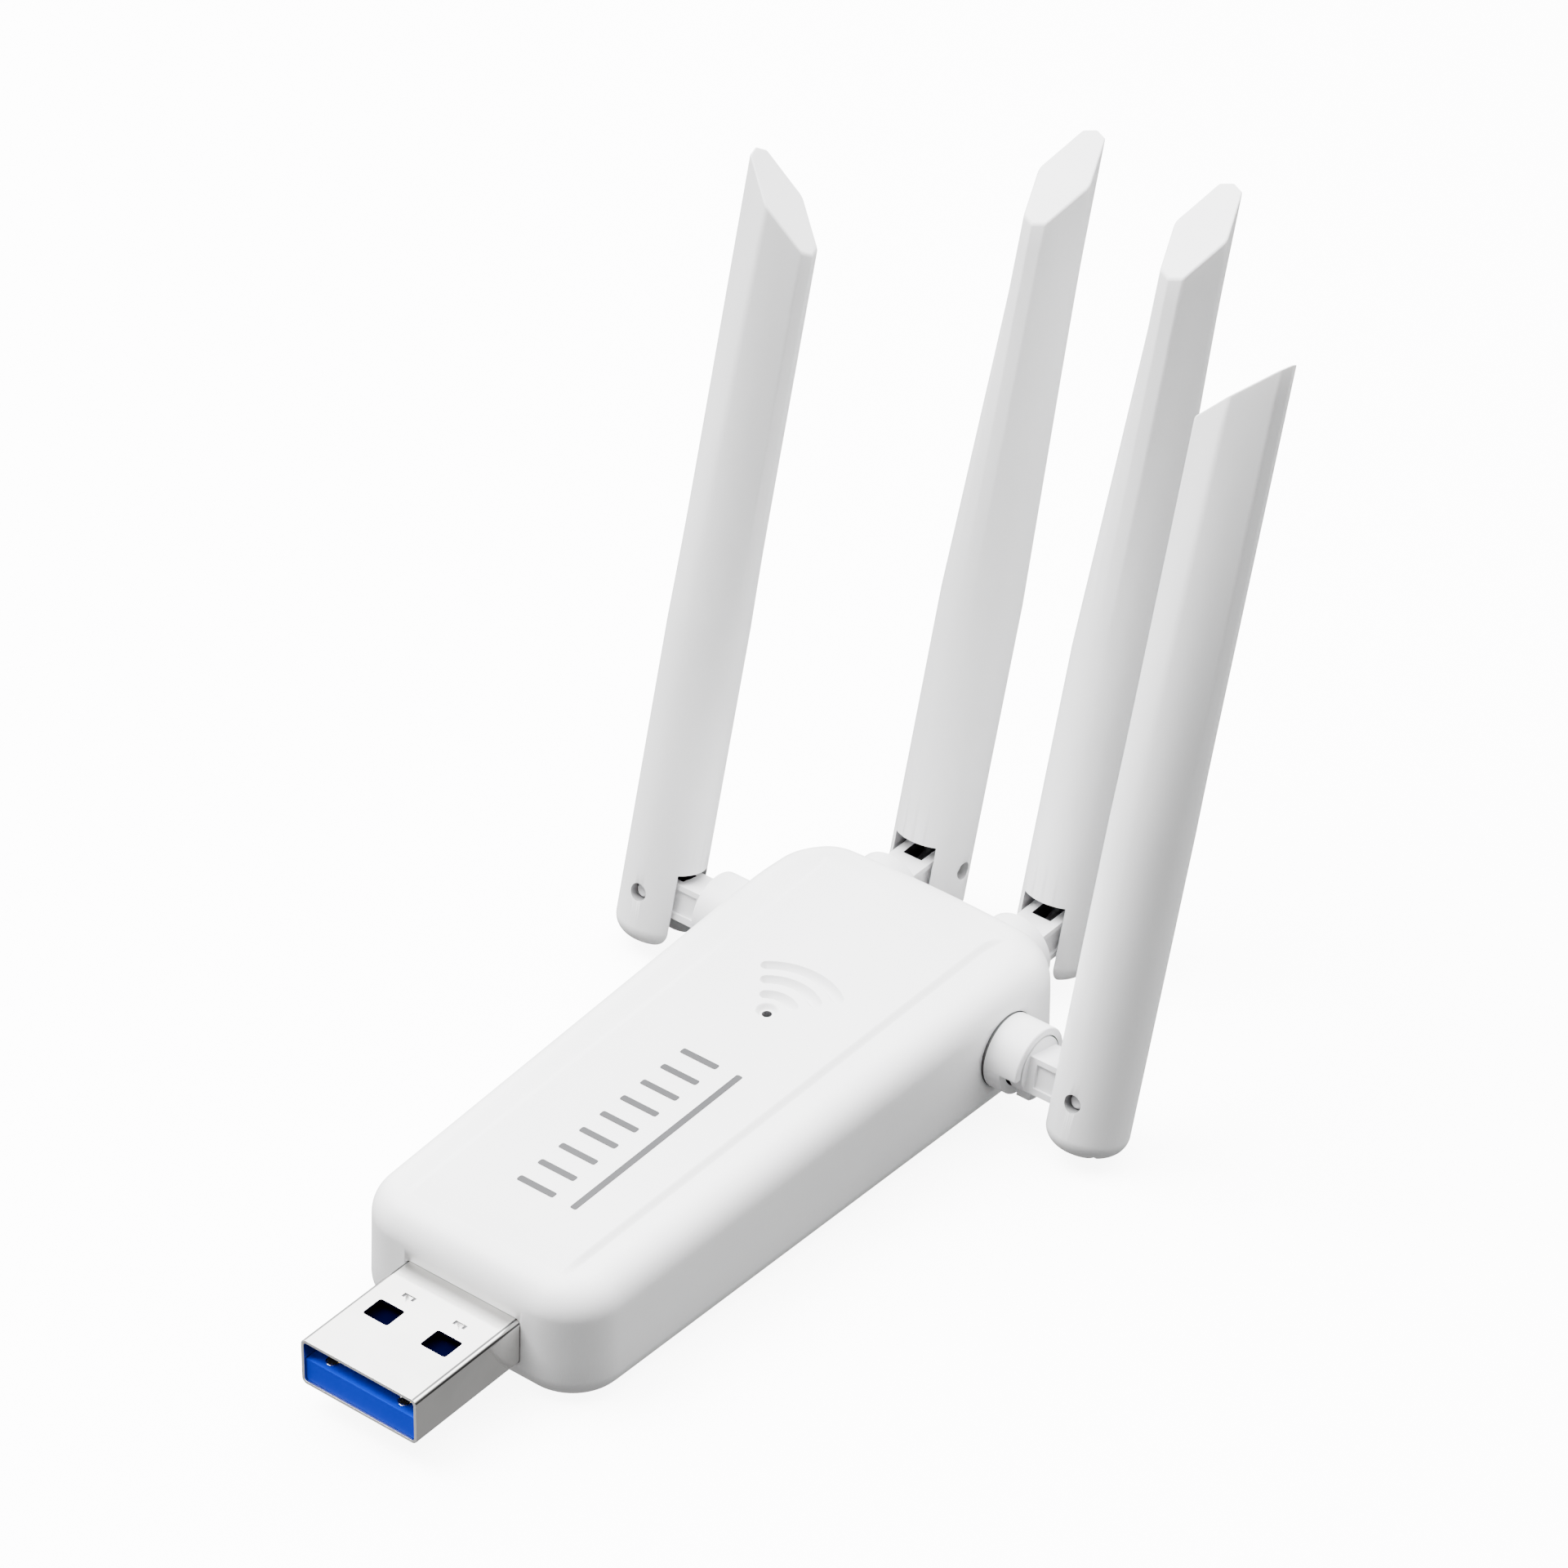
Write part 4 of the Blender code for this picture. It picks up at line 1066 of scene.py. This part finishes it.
def make_knuckle(name):
    """Swivelling stub: disc with a stop lug, hollow tongue, trunnions and side panels."""
    hinge = HINGES[name]
    disc_start = COLLAR_END - MOUTH_DEPTH + DISC_GAP
    low = hinge["wall"] - SHAFT_DEPTH
    profile = [(SHAFT_RADIUS, low), (SHAFT_RADIUS, disc_start), (DISC_RADIUS, disc_start)]
    profile += arc((DISC_RADIUS - DISC_EDGE, DISC_END - DISC_EDGE), DISC_EDGE, 0, 90, 4)
    knuckle = store("knuckle_" + name, turned(profile, 96), HINGE, along_x())
    half = TONGUE_HALF
    crown = math.degrees(math.asin(TONGUE_TOP / half))
    side = [(DISC_END - 0.6, -half), (0.0, -half)]
    side += arc((0, 0), half, -90, crown, 24)[1:]
    side += [(DISC_END - 0.6, TONGUE_TOP)]
    join(knuckle, loft([[(x, y, z) for x, z in side] for y in (-half, half)]))
    for way in (-1, 1):
        peg = ((TRUNNION_RADIUS, 1.3), (TRUNNION_RADIUS, TRUNNION_END - TRUNNION_EDGE),
               (TRUNNION_RADIUS - TRUNNION_EDGE, TRUNNION_END))
        join(knuckle, turned(peg, 40), Matrix.Rotation(math.radians(-90 * way), 4, "X"))
    lug = sector(DISC_RADIUS - 0.5, LUG_RADIUS, -LUG_HALF_ANGLE, LUG_HALF_ANGLE, 12)
    join(knuckle, prism(lug, disc_start, DISC_END), along_x())
    # the shaft bore's and the hollow's walls are painted black as shade
    cut(knuckle, turned(((SHAFT_BORE, low - 1), (SHAFT_BORE, HOLLOW_BACK + 0.5)), 40), along_x(),
        BLACK_AND_PAINTED_SHADE)
    cut(knuckle, box((HOLLOW_BACK, -HOLLOW_HALF_WIDTH, HOLLOW_FLOOR), (4, HOLLOW_HALF_WIDTH, 4)),
        look=BLACK_AND_PAINTED_SHADE)
    for way in (-1, 1):
        inner, outer = sorted((way * PANEL_DEPTH, way * 3))
        cut(knuckle, box((PANEL_LOW[0], inner, PANEL_LOW[1]), (PANEL_HIGH[0], outer, PANEL_HIGH[1])))
    # the disc's sides are painted black as the shade in the gap to the collar
    repaint(knuckle, BLACK_AND_PAINTED_SHADE, on_disc_side)
    soften(knuckle, 0.09)
    knuckle.matrix_world = along_x(hinge["swivel"])
    settle(knuckle, name + "_knuckle", "hinge_plastic", "swivel_knuckle_" + name)


def blade_sections():
    """Matching plan points of the round blade and of its faceted tip."""
    corner_steps = 4
    facet_steps = 10
    soft = 0.09
    count = len(TIP_SECTION)
    tip_points = []
    for index in range(count):
        here = Vector(TIP_SECTION[index])
        after = Vector(TIP_SECTION[(index + 1) % count])
        before = Vector(TIP_SECTION[index - 1])
        start = here + (before - here) * soft
        end = here + (after - here) * soft
        for i in range(corner_steps):
            t = i / corner_steps
            tip_points.append(start * (1 - t) ** 2 + here * 2 * t * (1 - t) + end * t ** 2)
        far = after + (here - after) * soft
        for i in range(facet_steps):
            t = i / facet_steps
            tip_points.append(end + (far - end) * t)
    return [p.normalized() for p in tip_points], tip_points


def make_blade(name):
    """Antenna sleeve: forked round heel, faceted blade and slanted tip."""
    hinge = HINGES[name]
    unit, tip = blade_sections()
    rings = []
    steps = 14
    for i in range(steps + 1):
        angle = math.radians(90 * i / steps)
        radius = BLADE_RADIUS - HEEL_FILLET * (1 - math.sin(angle))
        height = -HEEL + HEEL_FILLET * (1 - math.cos(angle))
        rings.append([(p.x * radius, p.y * radius, height) for p in unit])
    for height in (2.0, 8.0, 14.0, 20.0):
        rings.append([(p.x * BLADE_RADIUS, p.y * BLADE_RADIUS, height) for p in unit])
    lengths = 16
    for i in range(lengths + 1):
        t = i / lengths
        ring = []
        for p, q in zip(unit, tip):
            top = TIP_V + TIP_SLOPE * q.x - TIP_EDGE
            ring.append((p.x * BLADE_RADIUS * (1 - t) + q.x * t, p.y * BLADE_RADIUS * (1 - t) + q.y * t,
                         ROUND_TOP * (1 - t) + top * t))
        rings.append(ring)
    edge_steps = 4
    for i in range(1, edge_steps + 1):
        angle = math.radians(90 * i / edge_steps)
        pull = TIP_EDGE * (1 - math.cos(angle))
        ring = []
        for q in tip:
            inner = q - q.normalized() * pull
            ring.append((inner.x, inner.y, TIP_V + TIP_SLOPE * inner.x - TIP_EDGE * (1 - math.sin(angle))))
        rings.append(ring)
    sleeve = store("antenna_" + name, loft(rings), WHITE, sharp=30)
    # the core's walls are painted black as shade; the slot and the pivot hole are painted grey shade
    cut(sleeve, turned(((CORE_RADIUS, SLOT_TOP - 1.5), (CORE_RADIUS, CORE_TOP)), 64), look=BLACK_AND_PAINTED_SHADE)
    cut(sleeve, box((-8, -SLOT_HALF_WIDTH, -12), (SLOT_OUTER, SLOT_HALF_WIDTH, SLOT_TOP)), look=SHADE)
    cut(sleeve, turned(((PIVOT_HOLE, -6), (PIVOT_HOLE, 6)), 56), Matrix.Rotation(math.radians(90), 4, "X"),
        SHADE)
    soften(sleeve, 0.1, 45.0)
    sleeve.matrix_world = hinge["blade"]
    settle(sleeve, name + "_antenna", "white_plastic", "antenna_sleeve_" + name)


def make_flex(name):
    """Short bend of cable between the stub and the antenna, across the tilt pivot."""
    fixed = HINGES[name]["swivel"]
    blade = HINGES[name]["blade"]
    start = fixed @ Vector((-COAX_GAP * MM * FLEX_REACH, 0, 0))
    lead = fixed @ Vector((-COAX_GAP * MM * FLEX_PULL, 0, 0))
    rise = blade @ Vector((0, 0, COAX_GAP * MM * FLEX_PULL))
    end = blade @ Vector((0, 0, COAX_GAP * MM * FLEX_REACH))
    steps = 24
    sides = 16
    points = []
    for i in range(steps + 1):
        t = i / steps
        s = 1 - t
        points.append(start * s ** 3 + lead * 3 * s * s * t + rise * 3 * s * t * t + end * t ** 3)
    across = (blade.to_3x3() @ Vector((0, 1, 0))).normalized()
    rings = []
    for i, point in enumerate(points):
        along = (points[min(i + 1, steps)] - points[max(i - 1, 0)]).normalized()
        other = along.cross(across).normalized()
        rings.append([point / MM + (across * y + other * x) * (COAX_RADIUS - 0.03)
                      for y, x, z in circle(1.0, 0.0, sides)])
    flex = store("coax_flex_" + name, loft(rings), JACKET, sharp=50)
    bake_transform(flex)


# ---------------------------------------------------------------- assembly

HINGES = hinge_frames()
make_body()
make_base_plate()
make_print()
make_plug()
for place in SIDES:
    make_collar(place)
    make_knuckle(place)
    make_blade(place)
    make_flex(place)

slot_of = {row["node"]: row["material_slot"] for row in frame["record"]["subparts"]}
for node_name, node in frame["nodes"].items():
    for index in range(len(node.data.materials)):
        node.data.materials[index] = SLOT_MATERIALS[slot_of[node_name]]


# ---------------------------------------------------------------- stage

# a wide soft box behind and to the left, over a dim even surround: the direction of its middle,
# the cosines at which it fades in and is full, and the two strengths
SOFTBOX = (-0.24, 0.42, 0.61)
SOFTBOX_EDGE = 0.42
SOFTBOX_FULL = 0.66
SOFTBOX_GLOW = 8.3
AMBIENT = 0.42

FLOOR_REACH = 1600.0
FLOOR_Z = -0.02
FLOOR_GLOW = 7.5

# key light and camera, in metres, watts and degrees; the lens is in millimetres
KEY_SPOT = (-0.33, -0.16, 0.64)
KEY_TARGET = (0, 0.01, 0.01)
KEY_SIZE = (0.5, 0.5)
KEY_POWER = 16.0
CAMERA_PLACE = (0.24559, -0.31191, 0.32156)
CAMERA_AZIMUTH = 37.43
CAMERA_ELEVATION = 35.44
CAMERA_ROLL = 1.25
CAMERA_LENS = 140.3


def make_floor():
    """Plain pale floor that glows evenly and throws no light on the part."""
    bm = bmesh.new()
    corners = ((-1, -1), (1, -1), (1, 1), (-1, 1))
    bm.faces.new([bm.verts.new((x * FLOOR_REACH, y * FLOOR_REACH, FLOOR_Z)) for x, y in corners])
    made, tree, shader = new_material("pale_floor")
    drift = noise(tree, object_coords(tree), 3.0, 2.0)
    tree.links.new(colours(tree, drift, (0.86, 0.86, 0.86), (0.88, 0.88, 0.88)), shader.inputs["Base Color"])
    shader.inputs["Roughness"].default_value = 0.9
    shader.inputs["Specular IOR Level"].default_value = 0.1
    shader.inputs["Emission Color"].default_value = (1, 1, 1, 1)
    shader.inputs["Emission Strength"].default_value = FLOOR_GLOW
    floor = store("floor", bm, made)
    floor.visible_diffuse = False
    floor.visible_glossy = False


def area_light(name, spot, target, size, power):
    """Rectangular light at spot that shines towards target."""
    data = bpy.data.lights.new(name, "AREA")
    data.shape = "RECTANGLE"
    data.size, data.size_y = size
    data.energy = power
    lamp = bpy.data.objects.new(name, data)
    bpy.context.scene.collection.objects.link(lamp)
    lamp.location = Vector(spot)
    lamp.rotation_mode = "QUATERNION"
    lamp.rotation_quaternion = (Vector(target) - Vector(spot)).to_track_quat("-Z", "Y")


def make_surround():
    """World that glows in one wide soft lobe and is dim elsewhere."""
    world = bpy.data.worlds.new("studio")
    bpy.context.scene.world = world
    world.use_nodes = True
    sky = world.node_tree
    facing = sky.nodes.new("ShaderNodeTexCoord")
    toward = sky.nodes.new("ShaderNodeVectorMath")
    toward.operation = "DOT_PRODUCT"
    toward.inputs[1].default_value = Vector(SOFTBOX).normalized()
    sky.links.new(facing.outputs["Generated"], toward.inputs[0])
    glow = ramp(sky, toward.outputs["Value"], AMBIENT, SOFTBOX_GLOW, SOFTBOX_EDGE, SOFTBOX_FULL)
    sky.links.new(glow, sky.nodes["Background"].inputs["Strength"])
    sky.nodes["Background"].inputs["Color"].default_value = (1, 1, 1, 1)


def place_camera():
    """Camera at the photograph's viewing angle."""
    azimuth, elevation, roll = (math.radians(v) for v in (CAMERA_AZIMUTH, CAMERA_ELEVATION, CAMERA_ROLL))
    back = Vector((math.sin(azimuth) * math.cos(elevation), -math.cos(azimuth) * math.cos(elevation),
                   math.sin(elevation)))
    right = Vector((math.cos(azimuth), math.sin(azimuth), 0))
    up = back.cross(right)
    rolled_right = right * math.cos(roll) + up * math.sin(roll)
    rolled_up = up * math.cos(roll) - right * math.sin(roll)
    data = bpy.data.cameras.new("camera")
    data.lens = CAMERA_LENS
    data.sensor_width = 36.0
    data.clip_start = 0.01
    data.clip_end = 20.0
    camera = bpy.data.objects.new("camera", data)
    bpy.context.scene.collection.objects.link(camera)
    axes = Matrix((rolled_right, rolled_up, back)).transposed().to_4x4()
    camera.matrix_world = Matrix.Translation(Vector(CAMERA_PLACE)) @ axes
    bpy.context.scene.camera = camera


make_floor()
area_light("key", KEY_SPOT, KEY_TARGET, KEY_SIZE, KEY_POWER)
make_surround()
place_camera()
